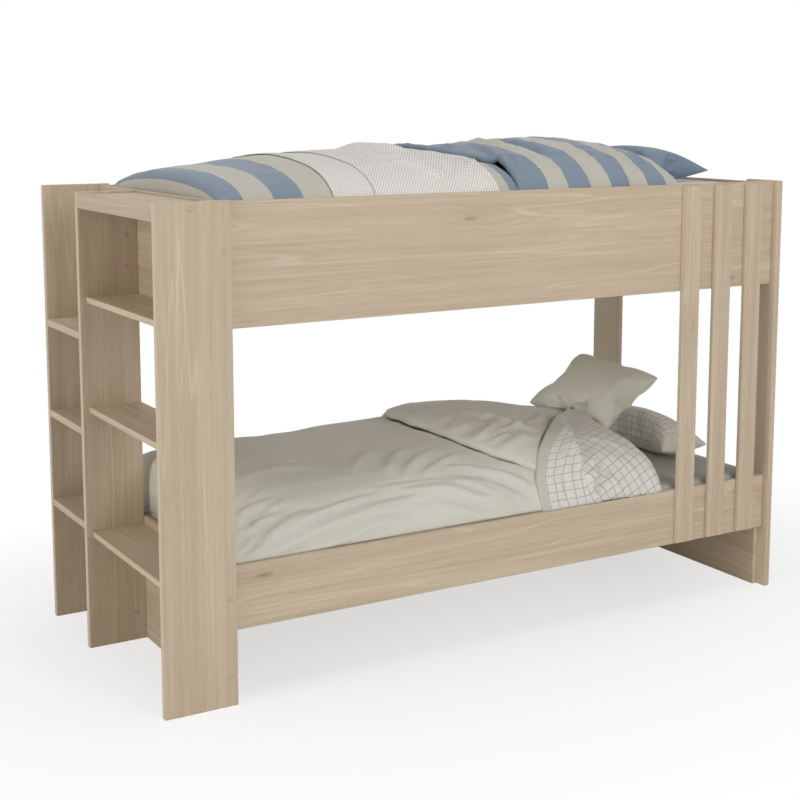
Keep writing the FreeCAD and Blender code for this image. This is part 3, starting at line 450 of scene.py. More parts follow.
def value_noise(points, size, seed):
    """Smooth noise from -1 to 1 at 2D points, with features of about that size."""
    rows = np.random.RandomState(seed).uniform(-1, 1, (64, 64))
    p = points / size
    cell = np.floor(p).astype(int)
    f = p - cell
    f = eased(f)
    i, j = cell[..., 0] % 64, cell[..., 1] % 64
    i1, j1 = (i + 1) % 64, (j + 1) % 64
    low = rows[i, j] * (1 - f[..., 0]) + rows[i1, j] * f[..., 0]
    high = rows[i, j1] * (1 - f[..., 0]) + rows[i1, j1] * f[..., 0]
    return low * (1 - f[..., 1]) + high * f[..., 1]


def ripples(points, size, seed):
    """Two octaves of smooth noise."""
    return value_noise(points, size, seed) + 0.5 * value_noise(points + 7.3, size / 2.1, seed + 1)


def add(name, data):
    """A new object in the scene."""
    made = bpy.data.objects.new(name, data)
    bpy.context.scene.collection.objects.link(made)
    return made


def piece(name, vertices, faces, finish, uv=None):
    """A mesh object that rides on the bed, with an optional UV pair for each vertex."""
    mesh = bpy.data.meshes.new(name)
    mesh.from_pydata([tuple(v) for v in vertices], [], faces)
    mesh.update()
    if uv is not None:
        layer = mesh.uv_layers.new(name="cloth")
        order = np.zeros(len(mesh.loops), int)
        mesh.loops.foreach_get("vertex_index", order)
        layer.data.foreach_set("uv", np.asarray(uv)[order].ravel())
    mesh.polygons.foreach_set("use_smooth", [True] * len(mesh.polygons))
    mesh.materials.append(material[finish])
    made = add(name, mesh)
    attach(made, "root")
    return made


def grid_faces(rows, columns, start=0, flip=False):
    """Faces between the points of a grid, which are numbered from start."""
    faces = []
    for i in range(rows - 1):
        for j in range(columns - 1):
            a = start + i * columns + j
            quad = (a, a + columns, a + columns + 1, a + 1)
            faces.append(quad[::-1] if flip else quad)
    return faces


def band(a, b, count):
    """Faces between two rings of points, which are numbered from a and b."""
    return [(a + k, b + k, b + (k + 1) % count, a + (k + 1) % count) for k in range(count)]


def to_scene(points):
    """Millimetres from foot, front and floor to the frame's metres."""
    return np.asarray(points).reshape(-1, 3) * MM + CORNER


def from_scene(points):
    """The frame's metres to millimetres from foot, front and floor."""
    return (np.asarray(points) - CORNER) / MM


def places_of(mesh):
    """The places of a mesh's vertices, a row for each."""
    places = np.zeros(len(mesh.vertices) * 3)
    mesh.vertices.foreach_get("co", places)
    return places.reshape(-1, 3)


def stuffed(node):
    """Hide the node of the CAD model that a padded piece stands in for."""
    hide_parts(node)


def thicken(made, thickness, offset=-1.0):
    """Give a sheet its thickness, inwards or (1.0) outwards."""
    thick = made.modifiers.new("thickness", "SOLIDIFY")
    thick.thickness = thickness
    thick.offset = offset


def normals_of(points):
    """Unit normals of a grid of points, upwards."""
    along = np.gradient(points, axis=0)
    across = np.gradient(points, axis=1)
    n = np.cross(along, across)
    n /= np.linalg.norm(n, axis=2, keepdims=True) + 1e-12
    flip = np.where(n[..., 2:3].mean() < 0, -1.0, 1.0)
    return n * flip


# Camera, light and floor

SENSOR, LENS, LENS_SHIFT = 36, 65.87, -0.12
CAMERA_PLACE = (-1392.0, -3618.9, 1680.3)
CAMERA_DOWN, CAMERA_TURN = 7.813, -30.589
PURE_WHITE = (1.0, 1.0, 1.0, 1.0)
AMBIENT = 0.33
LIGHT_TARGET = Vector((0, 0, 0.8))

# name, place, width in metres and power in watts
LIGHTS = [
    ("front_light", (0.6, -5.2, 2.4), 3.4, 104),
    ("foot_light", (-5.4, -1.2, 2.0), 3.0, 81),
    ("top_light", (-0.3, -0.8, 5.2), 3.0, 48),
]

# the floor's half length, and half the length and width of the oval that the floor fades round
FLOOR_REACH = 14.0
SHADOW_OVAL = (1.75, 1.25)


def look():
    """The camera, fitted to the photo."""
    data = bpy.data.cameras.new("camera")
    data.sensor_width = SENSOR
    data.lens = LENS
    data.shift_y = LENS_SHIFT
    data.clip_end = 60
    camera = add("camera", data)
    camera.location = to_scene(CAMERA_PLACE)[0]
    camera.rotation_euler = (math.radians(90 - CAMERA_DOWN), 0, math.radians(CAMERA_TURN))
    bpy.context.scene.camera = camera


def area_light(name, spot, size, watts):
    """A round light that faces the bed."""
    data = bpy.data.lights.new(name, "AREA")
    data.shape = "DISK"
    data.size = size
    data.energy = watts
    lamp = add(name, data)
    lamp.location = spot
    lamp.rotation_euler = (LIGHT_TARGET - Vector(spot)).to_track_quat("-Z", "Y").to_euler()


def surroundings():
    """Even light from all round, which the camera and reflections see as plain white."""
    scene = bpy.context.scene
    scene.view_settings.view_transform = "Standard"
    scene.world = bpy.data.worlds.new("studio")
    g = Graph(scene.world)
    seen = g.math("MAXIMUM", *g.node("LightPath", ("Is Camera Ray", "Is Glossy Ray")))
    dim, full = [g.node("Background", 0, {"Color": PURE_WHITE, "Strength": strength})
                 for strength in (AMBIENT, 1.0)]
    g.show("World Output", g.node("MixShader", 0, {0: seen, 1: dim, 2: full}))


def floor():
    """A pale floor that the camera sees fade to plain white away from the bed."""
    g = Graph("pale_floor")
    cloud = g.specks(1.2)
    g.finish(g.mix(cloud, rgb(253, 253, 253), rgb(250, 250, 250)), 0.9)
    one, two = [g.math("POWER", part / reach, 2.0) for part, reach in zip(g.split(g.place()), SHADOW_OVAL)]
    away = g.math("SQRT", one + two)
    fade = g.node("LightPath", "Is Camera Ray") * g.range(away, 0.5, 1.35, 0.62, 1.0)
    lit = Signal(g, g.tree.nodes["Principled BSDF"].outputs[0])
    plain = g.node("Emission", 0, {"Color": PURE_WHITE})
    g.show("Material Output", g.node("MixShader", 0, {0: fade, 1: lit, 2: plain}))
    mesh = bpy.data.meshes.new("floor")
    signs = ((-1, -1), (1, -1), (1, 1), (-1, 1))
    mesh.from_pydata([(x * FLOOR_REACH, y * FLOOR_REACH, 0) for x, y in signs], [], [(0, 1, 2, 3)])
    mesh.materials.append(g.owner)
    add("floor", mesh)


look()
surroundings()
for light in LIGHTS:
    area_light(*light)
floor()


# Covers laid over a bed. Lengths here are millimetres from the foot end, the front face and the floor.

# the usual distance between a cover's points, and the middle of the bed's width
CELL, BED_MIDDLE = 13.0, 492.5

# where a fitted sheet's side stands, how round its edge is, and how full the folds are
SHEET_SIDE, SHEET_EDGE, FULLNESS = 42.9, 20.0, 1.8

# how far a cover's side hem hangs below its rounded section, by the distance from the hem
HEM_REACH = (0, 4, 9, 16, 30, 60, 110)
HEM_DROP = (9.4, 16, 20.5, 22, 17, 8, 0)


# over these lengths a press deepens, folds fade out towards a hem or a rim, a press fades out towards
# a hem, and a layer's lifted foot edge comes down
PRESS_SLOPE, HEM_FADE, RIM_FADE, PRESS_FADE, LIFT_WIDTH = 40.0, 18, 20, 40, 30


class Bed:
    """One bed: the height its covers rest on, its rail's top, and where their hems lie and how they drop."""

    def __init__(self, base, ledge, front, drop):
        self.base = base
        self.ledge = ledge
        self.front = front
        self.drop = drop

    def under(self, y):
        """The height of what lies under a cover: the sheet with its rounded edge, or the rail beside it."""
        inside = SHEET_EDGE - np.clip(BED_MIDDLE - np.abs(y - BED_MIDDLE) - SHEET_SIDE, 0, SHEET_EDGE)
        sheet = self.base - SHEET_EDGE + np.sqrt(SHEET_EDGE ** 2 - inside ** 2)
        return np.maximum(sheet, self.ledge) + 0.4


UPPER = Bed(1395.9, 1395.9, 42.0, 0.0)
LOWER = Bed(408.9, 397.4, 35.0, 1.0)

# the rounded section of a cover, from a hem to the crest: share across the bed and share of the rise
SECTION = [(0, 0), (0.001, 0.06), (0.010, 0.18), (0.030, 0.34), (0.062, 0.50), (0.105, 0.64), (0.165, 0.77),
           (0.24, 0.865), (0.33, 0.94), (0.42, 0.985), (0.5, 1.0)]


def curve(places, knots, values):
    """Values between knots, joined by smooth slopes that never overshoot."""
    knots, values = np.asarray(knots, float), np.asarray(values, float)
    step = np.diff(knots)
    rate = np.diff(values) / step
    slope = np.zeros(len(knots))
    slope[0], slope[-1] = rate[0], rate[-1]
    same = rate[1:] * rate[:-1] > 0
    mean = 2 * rate[1:] * rate[:-1] / np.where(same, rate[1:] + rate[:-1], 1.0)
    slope[1:-1] = np.where(same, mean, 0.0)
    p = np.clip(places, knots[0], knots[-1])
    i = np.clip(np.searchsorted(knots, p) - 1, 0, len(step) - 1)
    t = (p - knots[i]) / step[i]
    h00, h10 = 2 * t ** 3 - 3 * t ** 2 + 1, t ** 3 - 2 * t ** 2 + t
    h01, h11 = -2 * t ** 3 + 3 * t ** 2, t ** 3 - t ** 2
    return h00 * values[i] + h10 * step[i] * slope[i] + h01 * values[i + 1] + h11 * step[i] * slope[i + 1]


FULL_SECTION = np.array(SECTION + [(1 - a, b) for a, b in SECTION[-2::-1]])

# the width between the hems, and the upper and lower duvets' usual height
SECTION_WIDTH, UPPER_CREST, LOWER_CREST = 889, 160, 240


def over_section(crest):
    """Lengths over the section's corners from the front hem, for a crest of that height."""
    return running(np.hypot(*(np.diff(FULL_SECTION, axis=0) * (SECTION_WIDTH, crest)).T))


# the usual length over a cover, from hem to hem, and each corner's share of it
GIRTH = over_section(UPPER_CREST)[-1]
CORNER_SHARE = over_section(UPPER_CREST) / GIRTH


def to_hem(s):
    """The distance over the cover to the nearer hem."""
    return np.minimum(s, 1 - s) * GIRTH


def edge_at(edge, s):
    """The place along the bed where an edge crosses the share s of the cover."""
    return curve(s, *zip(*edge))


def laid(x, s, bed, rise, inset=0.0):
    """Points of a cover at x along the bed and the share s over it, 0 at the front hem and 1 at the back."""
    front = bed.front + inset
    fine = np.linspace(0, 1, 601)
    across, up = [curve(s, fine[::12], np.interp(fine, CORNER_SHARE, line)[::12]) for line in FULL_SECTION.T]
    y = front + 2 * (BED_MIDDLE - front) * across
    z = bed.base + rise * up - bed.drop * curve(to_hem(s), HEM_REACH, HEM_DROP)
    return np.stack([x + 0 * s, y, z], axis=-1)


def rim_steps(low, high, radius, cell=CELL):
    """Places from low to high, close together within a rounded rim at each end."""
    near = [0, 0.09, 0.3, 0.62, 1.0]
    start = [low + radius * v for v in near]
    stop = [high - radius * v for v in near][::-1]
    count = max(2, int(round((stop[0] - start[-1]) / cell)))
    return np.array(start + list(np.linspace(start[-1], stop[0], count + 1))[1:-1] + stop)


# a cover's columns, close together on its front slope, where its small folds lie
COLUMNS = np.concatenate([[0, 1.5, 4], np.arange(8, 300, 6.5), np.arange(300, GIRTH - 8, CELL),
                          [GIRTH - 8, GIRTH - 3, GIRTH]]) / GIRTH


def by_reach(*pairs):
    """(mm over the cover, place along the bed) pairs as (share, place) pairs."""
    return [(reach / GIRTH, place) for reach, place in pairs]


def bulge(distance, radius):
    """0 at a rim, rising on a quarter circle to 1 at the radius."""
    t = np.clip(distance / radius, 0, 1)
    return np.sqrt(np.clip(1 - (1 - t) ** 2, 0, 1))


def beside(flat, path):
    """Distance to a smooth path over the flat cloth, minus on its right, and a fade at its ends."""
    path = np.asarray(path, float)
    if len(path) > 2:
        knots = np.linspace(0, 1, len(path))
        fine = np.linspace(0, 1, 6 * len(path))
        path = np.stack([curve(fine, knots, line) for line in path.T], axis=1)
    legs = np.hypot(*np.diff(path, axis=0).T)
    total, run = legs.sum(), 0.0
    best = np.full(flat.shape[:2], np.inf)
    side = share = np.zeros(flat.shape[:2])
    for a, b, leg in zip(path[:-1], path[1:], legs):
        d = (b - a) / leg
        q = flat - a
        t = np.clip(q @ d, 0, leg)
        off = q - t[..., None] * d
        distance = np.hypot(off[..., 0], off[..., 1])
        closer = distance < best
        best = np.where(closer, distance, best)
        side = np.where(closer, d[0] * q[..., 1] - d[1] * q[..., 0], side)
        share = np.where(closer, (run + t) / total, share)
        run += leg
    fade = np.clip(np.minimum(share, 1 - share) / 0.3, 0, 1)
    return np.where(side < 0, -best, best), eased(fade)


def crease(flat, path, width, height, tuck=0.5):
    """A lying fold along a path: a ridge with a tuck beside it, fading at both ends."""
    signed, fade = beside(flat, path)
    ridge = np.exp(-(signed / width) ** 2)
    dip = np.exp(-((signed - 1.15 * width) / (0.55 * width)) ** 2)
    return height * fade * (ridge - tuck * dip)


def overlap(flat, path, tall, near, far):
    """Cloth folded over itself: it rises towards the path from its right and drops sharply beyond it."""
    signed, fade = beside(flat, path)
    step = np.clip(signed / 9 + 0.5, 0, 1)
    high = np.exp(np.minimum(signed, 0) / near)
    deep = -0.45 * np.exp(-np.maximum(signed, 0) / far)
    return tall * fade * (high * (1 - step) + deep * step)


def covered(edge, start, depth):
    """How far a cover is pressed in where another one lies on it, beyond that one's foot edge."""
    def press(x, s):
        return depth * eased(np.clip((x - edge_at(edge, s) - start) / PRESS_SLOPE, 0, 1))
    return press


def bare(x, s):
    """Nothing lies on this cover."""
    return 0.0 * x


def closed(name, top, bottom, uv, finish, weld=True):
    """A closed form between two grids that meet at their rims."""
    n, m = top.shape[:2]
    vertices = np.concatenate([to_scene(top), to_scene(bottom)])
    below, last = n * m, (n - 1) * m
    faces = grid_faces(n, m) + grid_faces(n, m, below, flip=True)

    def wall(a, b):
        faces.append((a, below + a, below + b, b))

    for i in range(n - 1):
        wall(i * m, (i + 1) * m)
        wall((i + 1) * m + m - 1, i * m + m - 1)
    for j in range(m - 1):
        wall(j + 1, j)
        wall(last + j, last + j + 1)
    flat = np.concatenate([uv.reshape(-1, 2)] * 2) * MM
    made = piece(name, vertices, faces, finish, flat)
    if weld:
        mesh = bmesh.new()
        mesh.from_mesh(made.data)
        bmesh.ops.remove_doubles(mesh, verts=mesh.verts, dist=0.0002)
        bmesh.ops.recalc_face_normals(mesh, faces=mesh.faces)
        mesh.to_mesh(made.data)
        mesh.free()
    return made


def relief(flat, folds, noise):
    """How far folds and ripples lift a cover at places on its flat cloth."""
    height = np.zeros(flat.shape[:2])
    for path, width, tall, *tuck in folds:
        height += FULLNESS * crease(flat, path, width, tall, *tuck)
    for size, tall, seed in noise:
        height += tall * ripples(flat, size, seed)
    return height


# a layer's folds start this far from its hem and are full after the next length, its hem bulges this far
FOLD_START, FOLD_FADE, HEM_BULGE = 5, 26, 7.5


def layer(name, finish, foot_edge, head_edge, bed, rise, thick, folds, noise, inset=0.0, lift=0.0,
          press=bare, across=COLUMNS, from_edge=False, laps=(), cell=CELL):
    """One thickness of a duvet with rounded rims, its outer face on the given rise."""
    half = thick / 2
    low = edge_at(foot_edge, across)
    high = edge_at(head_edge, across)
    share = rim_steps(0, 1, half / (high - low).mean(), cell / (high - low).mean())
    x = low[None, :] + (high - low)[None, :] * share[:, None]
    s = np.broadcast_to(across[None, :], x.shape)
    outer = laid(x, s, bed, rise(x, s), inset)
    flat = np.stack([x, s * GIRTH], axis=-1)
    n = normals_of(outer)
    height = relief(flat, folds, noise)
    for lap in laps:
        height += overlap(flat, *lap)
    to_rim = np.minimum(x - low, high - x)
    hem = to_hem(s)
    height *= np.clip((hem - FOLD_START) / FOLD_FADE, 0, 1)
    raised = lift * np.exp(-((x - low) / LIFT_WIDTH) ** 2)
    height += np.clip(hem / PRESS_FADE, 0, 1) * (raised - press(x, s))
    outer = outer + n * height[..., None]
    middle = outer - n * half
    share_out = np.minimum(bulge(to_rim, half), bulge(hem, half))[..., None]
    top = middle + n * half * share_out
    bottom = middle - n * half * share_out
    # a hem bulges no further out than its rail
    limit = bed.front + inset - HEM_BULGE - hem / 2
    for side, gap in ((top, 0), (bottom, 0.2)):
        side[..., 1] = np.clip(side[..., 1], limit, 2 * BED_MIDDLE - limit)
        side[..., 2] = np.maximum(side[..., 2], bed.under(side[..., 1]) - gap)
    if from_edge:
        steps = np.diff(laid(x, s, bed, rise(x, s), inset), axis=1)
        flat = np.stack([x - low[None, :], running(np.linalg.norm(steps, axis=2), 1)], axis=-1)
    return closed(name, top, bottom, flat, finish)


# how the flap's pattern lies: askew by this angle and shift beyond its fold, and stretched before it
SWING, SWING_SHIFT = math.radians(25), 1400
PATTERN_SCALE = (0.86, 1.1)
HEM_WIDENS = ((110, 250, 380), (0, 16, 26))


def turn_pattern(made, fold):
    """Set the pattern beyond a fold askew, where the cloth has swung round under it."""
    place, over = np.array(fold, float).T
    length = over_section(LOWER_CREST)
    c, s = math.cos(SWING), math.sin(SWING)
    pattern = made.data.uv_layers["cloth"].data
    for face in made.data.polygons:
        spots = np.array([pattern[k].uv for k in face.loop_indices]) / MM
        u, v = spots.T
        reach = np.interp(v, length, CORNER_SHARE * GIRTH)
        x = u + np.interp(reach, FLAP_REACH, FLAP_START)
        if x.mean() > np.interp(reach.mean(), over, place):
            spots = np.column_stack([SWING_SHIFT + x * c + v * s, v * c - x * s])
        else:
            wide = np.interp(v, *HEM_WIDENS)
            spots = spots * PATTERN_SCALE
            spots[:, 0] -= np.where(spots[:, 0] > 0, wide, 0)
        for k, spot in zip(face.loop_indices, spots):
            pattern[k].uv = spot * MM


# where a duvet's body starts beside the foot board, how round its end is, how its hem tucks in by the
# distance from it, and how far from the foot end its cloth hangs down there
BODY_START, BODY_ROUND = 208.5, 16.0
TUCK_REACH, TUCK = (0, 4, 9, 16), (12, 5, 1.5, 0)
FOOT_FALL = 470.0


def body(name, finish, head_edge, bed, rise, folds, noise, press):
    """A duvet's full thickness, resting on the bed: a rounded top over a flat underside."""
    stop = edge_at(head_edge, COLUMNS)
    length = stop.mean() - BODY_START
    share = rim_steps(0, 1, BODY_ROUND / length, CELL / length)
    x = BODY_START + (stop - BODY_START)[None, :] * share[:, None]
    s = np.broadcast_to(COLUMNS[None, :], x.shape)
    outer = laid(x, s, bed, rise(x, s))
    n = normals_of(outer)
    hem = to_hem(s)
    height = relief(np.stack([x, s * GIRTH], axis=-1), folds, noise) - press(x, s)
    to_rim = np.minimum(x - BODY_START, stop - x)
    height *= np.clip(hem / HEM_FADE, 0, 1) * np.clip(to_rim / RIM_FADE, 0, 1)
    # the cloth hangs down at the foot end, so its pattern follows its length there
    along = running(np.linalg.norm(np.diff(outer, axis=0), axis=2))
    at_fall = np.array([np.interp(FOOT_FALL, *pair) for pair in zip(x.T, along.T)])
    u = np.where(x < FOOT_FALL, along - at_fall[None, :] + FOOT_FALL, x)
    outer = outer + n * height[..., None]
    tuck = bed.drop * curve(hem, TUCK_REACH, TUCK)
    outer[..., 1] += np.where(s < 0.5, tuck, -tuck)
    outer[..., 2] = np.maximum(outer[..., 2], bed.under(outer[..., 1]))
    bottom = outer.copy()
    near, far = outer[:, :1, 1], outer[:, -1:, 1]
    bottom[..., 1] = near + (far - near) * s
    bottom[..., 2] = np.minimum(bed.under(bottom[..., 1]) - 0.3, outer[..., 2] - 0.1)
    return closed(name, outer, bottom, np.stack([u, s * GIRTH], axis=-1), finish, weld=False)


# Upper bed: striped duvet, its head end turned back, with a throw laid double over it

def upper_body_rise(x, s):
    return curve(
        x,
        [207, 212, 222, 245, 290, 394, 480, 560, 700, 900, 1105, 1165, 1300, 1500, 1650, 1750, 1830, 1868],
        [24, 48, 70, 84, 94, 104, 117, 126, 126, 130, 134, 128, 118, 132, 130, 112, 74, 20])


def upper_turn_rise(x, s):
    middle = np.clip((np.minimum(s, 1 - s) - 0.06) / 0.16, 0, 1)
    high = curve(x, [1050, 1105, 1170, 1220, 1310, 1360, 1410, 1465, 1560, 1640, 1730, 1820, 1870, 1910],
                 [150, 151, 146, 150, 155, 160, 155, 168, 170, 168, 157, 134, 112, 99])
    low = curve(x, [1050, 1790, 1840, 1910], [1.0, 1.0, 0.72, 0.40])
    return high * (low + (1 - low) * middle)


UPPER_FOOT_EDGE = by_reach(
    (0, 1197), (110, 1203), (165, 1202), (188, 1206), (204, 1190), (220, 1166), (232, 1160),
    (261, 1126), (330, 1092), (372, 1094), (400, 1070), (470, 1062), (560, 1060), (800, 1080),
    (GIRTH, 1095))
UPPER_HEAD_EDGE = by_reach((0, 1848), (150, 1864), (300, 1874), (500, 1904), (700, 1900), (GIRTH, 1868))
UPPER_TURN_FOLDS = [
    ([(1205, 110), (1222, 210), (1250, 330), (1262, 450)], 17, 7, 0.6),
    ([(1240, 60), (1262, 160), (1300, 260)], 14, 4, 0.6),
    ([(1395, 150), (1412, 300), (1405, 470), (1390, 640)], 22, -8, 0.4),
    ([(1330, 300), (1352, 430), (1350, 600)], 18, 6, 0.5),
    ([(1500, 90), (1525, 220), (1560, 360)], 16, 4, 0.7),
    ([(1610, 60), (1640, 180), (1690, 300)], 14, 4, 0.7),
    ([(1735, 60), (1760, 170), (1800, 280)], 12, 4, 0.7),
    ([(1140, 290), (1180, 400), (1190, 520)], 16, 6, 0.6),
]

UPPER_NOISE = [(160, 3.0, 11), (60, 1.0, 12)]

# how deep the turned end presses the cloth under it, from this far before its foot edge
UPPER_PRESS, PRESS_START = 14.0, -14

pieces_upper = [
    body("upper_duvet_body", "striped_foot", [(0, 1866), (1, 1866)], UPPER, upper_body_rise, (), UPPER_NOISE,
         covered(UPPER_FOOT_EDGE, PRESS_START, UPPER_PRESS)),
    layer("upper_duvet_turned", "striped_head", UPPER_FOOT_EDGE, UPPER_HEAD_EDGE, UPPER, upper_turn_rise, 24,
          UPPER_TURN_FOLDS, UPPER_NOISE + [(52, 2.0, 22), (34, 1.5, 24)], lift=7),
]
for made in pieces_upper:
    stuffed("upper_duvet")


# Lower bed: sage duvet, turned back, with the gridded underside showing

# the sunk corner at the foot end: where it lies, its depth as a share, its length and its reach from the hem
SUNK_AT, SUNK_SHARE, SUNK_LENGTH, SUNK_REACH = 207, 0.60, 210, 150

# the share of its height that a cover keeps at its head edge
END_SHARE = 0.06

# how much the turned end puffs up and over what length, and where it thins and over what length
PUFF, PUFF_LENGTH, THIN_AT, THIN_LENGTH = 22, 120, 1400, 200


def fall(x, s, edge, length):
    """1 along a cover, falling on a quarter circle to END_SHARE over the last length before its edge."""
    t = np.clip((x - (edge_at(edge, s) - length)) / length, 0, 1)
    return END_SHARE + (1 - END_SHARE) * np.sqrt(1 - t * t)


def lower_height(x):
    return curve(x, [207, 212, 225, 250, 300, 480, 700, 860, 975, 1100, 1250, 1500, 1600, 1700, 1850, 1990],
                 [70, 120, 168, 184, 196, 202, 200, 208, 215, 218, 212, 184, 167, 149, 116, 92])


def lower_body_rise(x, s):
    sunk = SUNK_SHARE * np.exp(-((x - SUNK_AT) / SUNK_LENGTH) ** 2 - (s * GIRTH / SUNK_REACH) ** 2)
    return lower_height(x) * fall(x, s, LOWER_BODY_END, 70) * (1 - sunk)


def over_body(x, s, gap, thins, edge, length):
    """A rise over the body: a gap that grows from the turned foot edge and thins beyond its middle."""
    inside = np.clip((x - edge_at(LOWER_FOOT_EDGE, s)) / PUFF_LENGTH, 0, 1)
    above = gap + PUFF * inside * (2 - inside) - thins * np.clip((x - THIN_AT) / THIN_LENGTH, 0, 1)
    return (lower_height(x) + above) * fall(x, s, edge, length)


def lower_turn_rise(x, s):
    return over_body(x, s, 24, 10, LOWER_HEAD_EDGE, 80)


def lower_flap_rise(x, s):
    return over_body(x, s, 39, 14, FLAP_HEAD_EDGE, curve(s * GIRTH, (0, 200, 340), (48, 60, 90)))


LOWER_BODY_END = by_reach(
    (0, 1660), (130, 1660), (258, 1630), (370, 1650), (500, 1790), (700, 1930), (GIRTH, 1920))
LOWER_FOOT_EDGE = by_reach(
    (0, 1316), (40, 1314), (72, 1310), (96, 1298), (118, 1268), (140, 1228), (161, 1194), (187, 1161),
    (230, 1122), (300, 1082), (375, 1052), (444, 1024), (552, 1026), (600, 1042), (650, 1066),
    (700, 1096), (780, 1150), (GIRTH, 1190))
LOWER_HEAD_EDGE = by_reach(
    (0, 1700), (130, 1702), (258, 1680), (370, 1700), (500, 1840), (700, 1990), (GIRTH, 1980))
FLAP_FOOT_EDGE = by_reach(
    (0, 1297), (24, 1289), (56, 1286), (96, 1305), (140, 1341), (183, 1388), (256, 1467), (345, 1564),
    (409, 1636), (520, 1740), (640, 1820))
FLAP_HEAD_EDGE = by_reach(
    (0, 1788), (48, 1793), (107, 1805), (155, 1806), (205, 1800), (258, 1790), (330, 1794),
    (420, 1836), (520, 1920), (640, 1985))
FLAP_STEPS = [[0, 1.5, 4], np.arange(8, 330, 6.5), np.arange(336, 610, 12.0), [616, 620]]
FLAP_REACH = np.linspace(0, 640, 65)
FLAP_START = edge_at(FLAP_FOOT_EDGE, FLAP_REACH / GIRTH)
FLAP_FOLD = [
    (1494, -5), (1476, 22), (1472, 52), (1482, 86), (1494, 141), (1525, 227), (1617, 372), (1720, 480)]

LOWER_BODY_FOLDS = [
    ([(232, 4), (326, 24), (426, 44), (566, 62), (722, 76), (850, 78), (990, 66)], 15, 9, 0.7),
    ([(236, 26), (366, 63), (486, 82), (610, 97), (760, 108)], 12, 8, 0.8),
    ([(240, 60), (358, 79), (462, 92), (560, 99)], 12, 7, 0.8),
    ([(244, 88), (350, 106), (440, 108)], 12, 6, 0.7),
    ([(240, 130), (330, 150), (430, 160)], 14, 4, 0.6),
    ([(430, 2), (554, 18), (634, 29), (698, 43), (774, 41), (870, 20)], 10, 6, 0.9),
    ([(560, 0), (630, 10), (702, 12), (770, 2)], 9, 5, 0.8),
    ([(320, 2), (386, 12), (450, 8)], 9, 5, 0.8),
    ([(760, 104), (918, 96), (990, 84), (1060, 58), (1130, 28)], 13, 8, 0.8),
    ([(880, 112), (1022, 98), (1114, 64), (1194, 30), (1275, 2)], 12, 7, 0.9),
    ([(960, 128), (1090, 93), (1194, 51), (1286, 6)], 11, 7, 0.8),
    ([(1060, 142), (1174, 112), (1250, 74), (1295, 43)], 11, 6, 0.8),
    ([(880, 66), (1010, 34), (1130, 8), (1230, 1)], 12, 6, 0.8),
    ([(790, 150), (822, 206), (880, 262), (960, 300)], 19, 5.5, 0.6),
    ([(826, 134), (890, 190), (970, 232), (1030, 254)], 17, 5, 0.6),
    ([(880, 128), (950, 164), (1030, 192), (1090, 206)], 15, 4, 0.6),
    ([(690, 200), (760, 280), (860, 330)], 20, 5, 0.5),
    ([(300, 260), (480, 300), (640, 290)], 26, 5, 0.4),
    ([(234, 16), (340, 50), (452, 70), (560, 84)], 8, 5, 0.8),
    ([(238, 46), (330, 70), (420, 84)], 7, 4, 0.8),
    ([(300, 14), (400, 32), (520, 50), (640, 62), (760, 64)], 8, 4, 0.9),
    ([(640, 46), (740, 62), (850, 60), (940, 44)], 8, 4, 0.9),
    ([(226, 8), (300, 44), (400, 84), (520, 112)], 11, 5, 0.7),
    ([(226, 14), (280, 66), (360, 122), (470, 156)], 13, 4, 0.7),
    ([(230, 24), (262, 90), (320, 160), (420, 212)], 16, 4, 0.6),
    ([(1010, 70), (1100, 52), (1180, 26), (1240, 4)], 8, 5, 0.9),
    ([(700, 130), (820, 122), (930, 118), (1040, 118)], 10, 4, 0.8),
    ([(980, 160), (1060, 150), (1130, 136)], 9, 4, 0.8),
    ([(900, 22), (980, 10), (1060, 2)], 8, 4, 0.8),
]
LOWER_TURN_FOLDS = [
    ([(1050, 388), (1110, 372), (1190, 384), (1270, 420)], 11, 3.5, 0.6),
    ([(1082, 304), (1130, 296), (1200, 322), (1280, 372)], 11, 3.5, 0.6),
    ([(1030, 470), (1080, 456), (1150, 470), (1220, 500)], 12, 3.5, 0.6),
    ([(1126, 232), (1170, 236), (1230, 268), (1300, 320)], 10, 3, 0.6),
    ([(1200, 300), (1300, 318), (1420, 330)], 12, 4, 0.7),
    ([(1220, 352), (1330, 366), (1450, 372)], 11, 4, 0.7),
    ([(1240, 240), (1330, 276), (1420, 300)], 10, 4, 0.7),
    ([(1180, 200), (1240, 214), (1310, 240)], 9, 3, 0.7),
    ([(1236, 130), (1266, 104), (1304, 74)], 12, 7, 0.8),
    ([(1150, 420), (1290, 366), (1378, 262), (1440, 232)], 26, 6, 0.5),
    ([(1350, 150), (1420, 206), (1514, 284), (1560, 330)], 14, -8, 0.5),
    ([(1180, 160), (1280, 190), (1370, 240)], 20, 5, 0.6),
    ([(1100, 230), (1220, 260), (1330, 330)], 22, 4, 0.6),
    ([(1400, 300), (1500, 350), (1560, 420)], 18, 6, 0.7),
    ([(1060, 300), (1160, 330), (1240, 400)], 18, 4, 0.6),
]
FLAP_FOLDS = [
    ([(1500, 20), (1520, 34), (1545, 52), (1575, 80)], 12, -10, 0.8),
    ([(1480, 66), (1512, 60), (1548, 74)], 11, 8, 0.6),
    ([(1500, 30), (1540, 10), (1590, 2)], 10, 6, 0.8),
    ([(1560, 66), (1596, 40), (1616, 8)], 11, 7, 0.8),
    ([(1640, 110), (1680, 66), (1700, 16)], 14, 4, 0.7),
    ([(1560, 200), (1640, 180), (1720, 130)], 18, 4, 0.6),
    ([(1400, 40), (1420, 100), (1470, 170)], 15, 5, 0.6),
    ([(1380, 0), (1392, 50), (1420, 90)], 10, -4, 0.6),
]
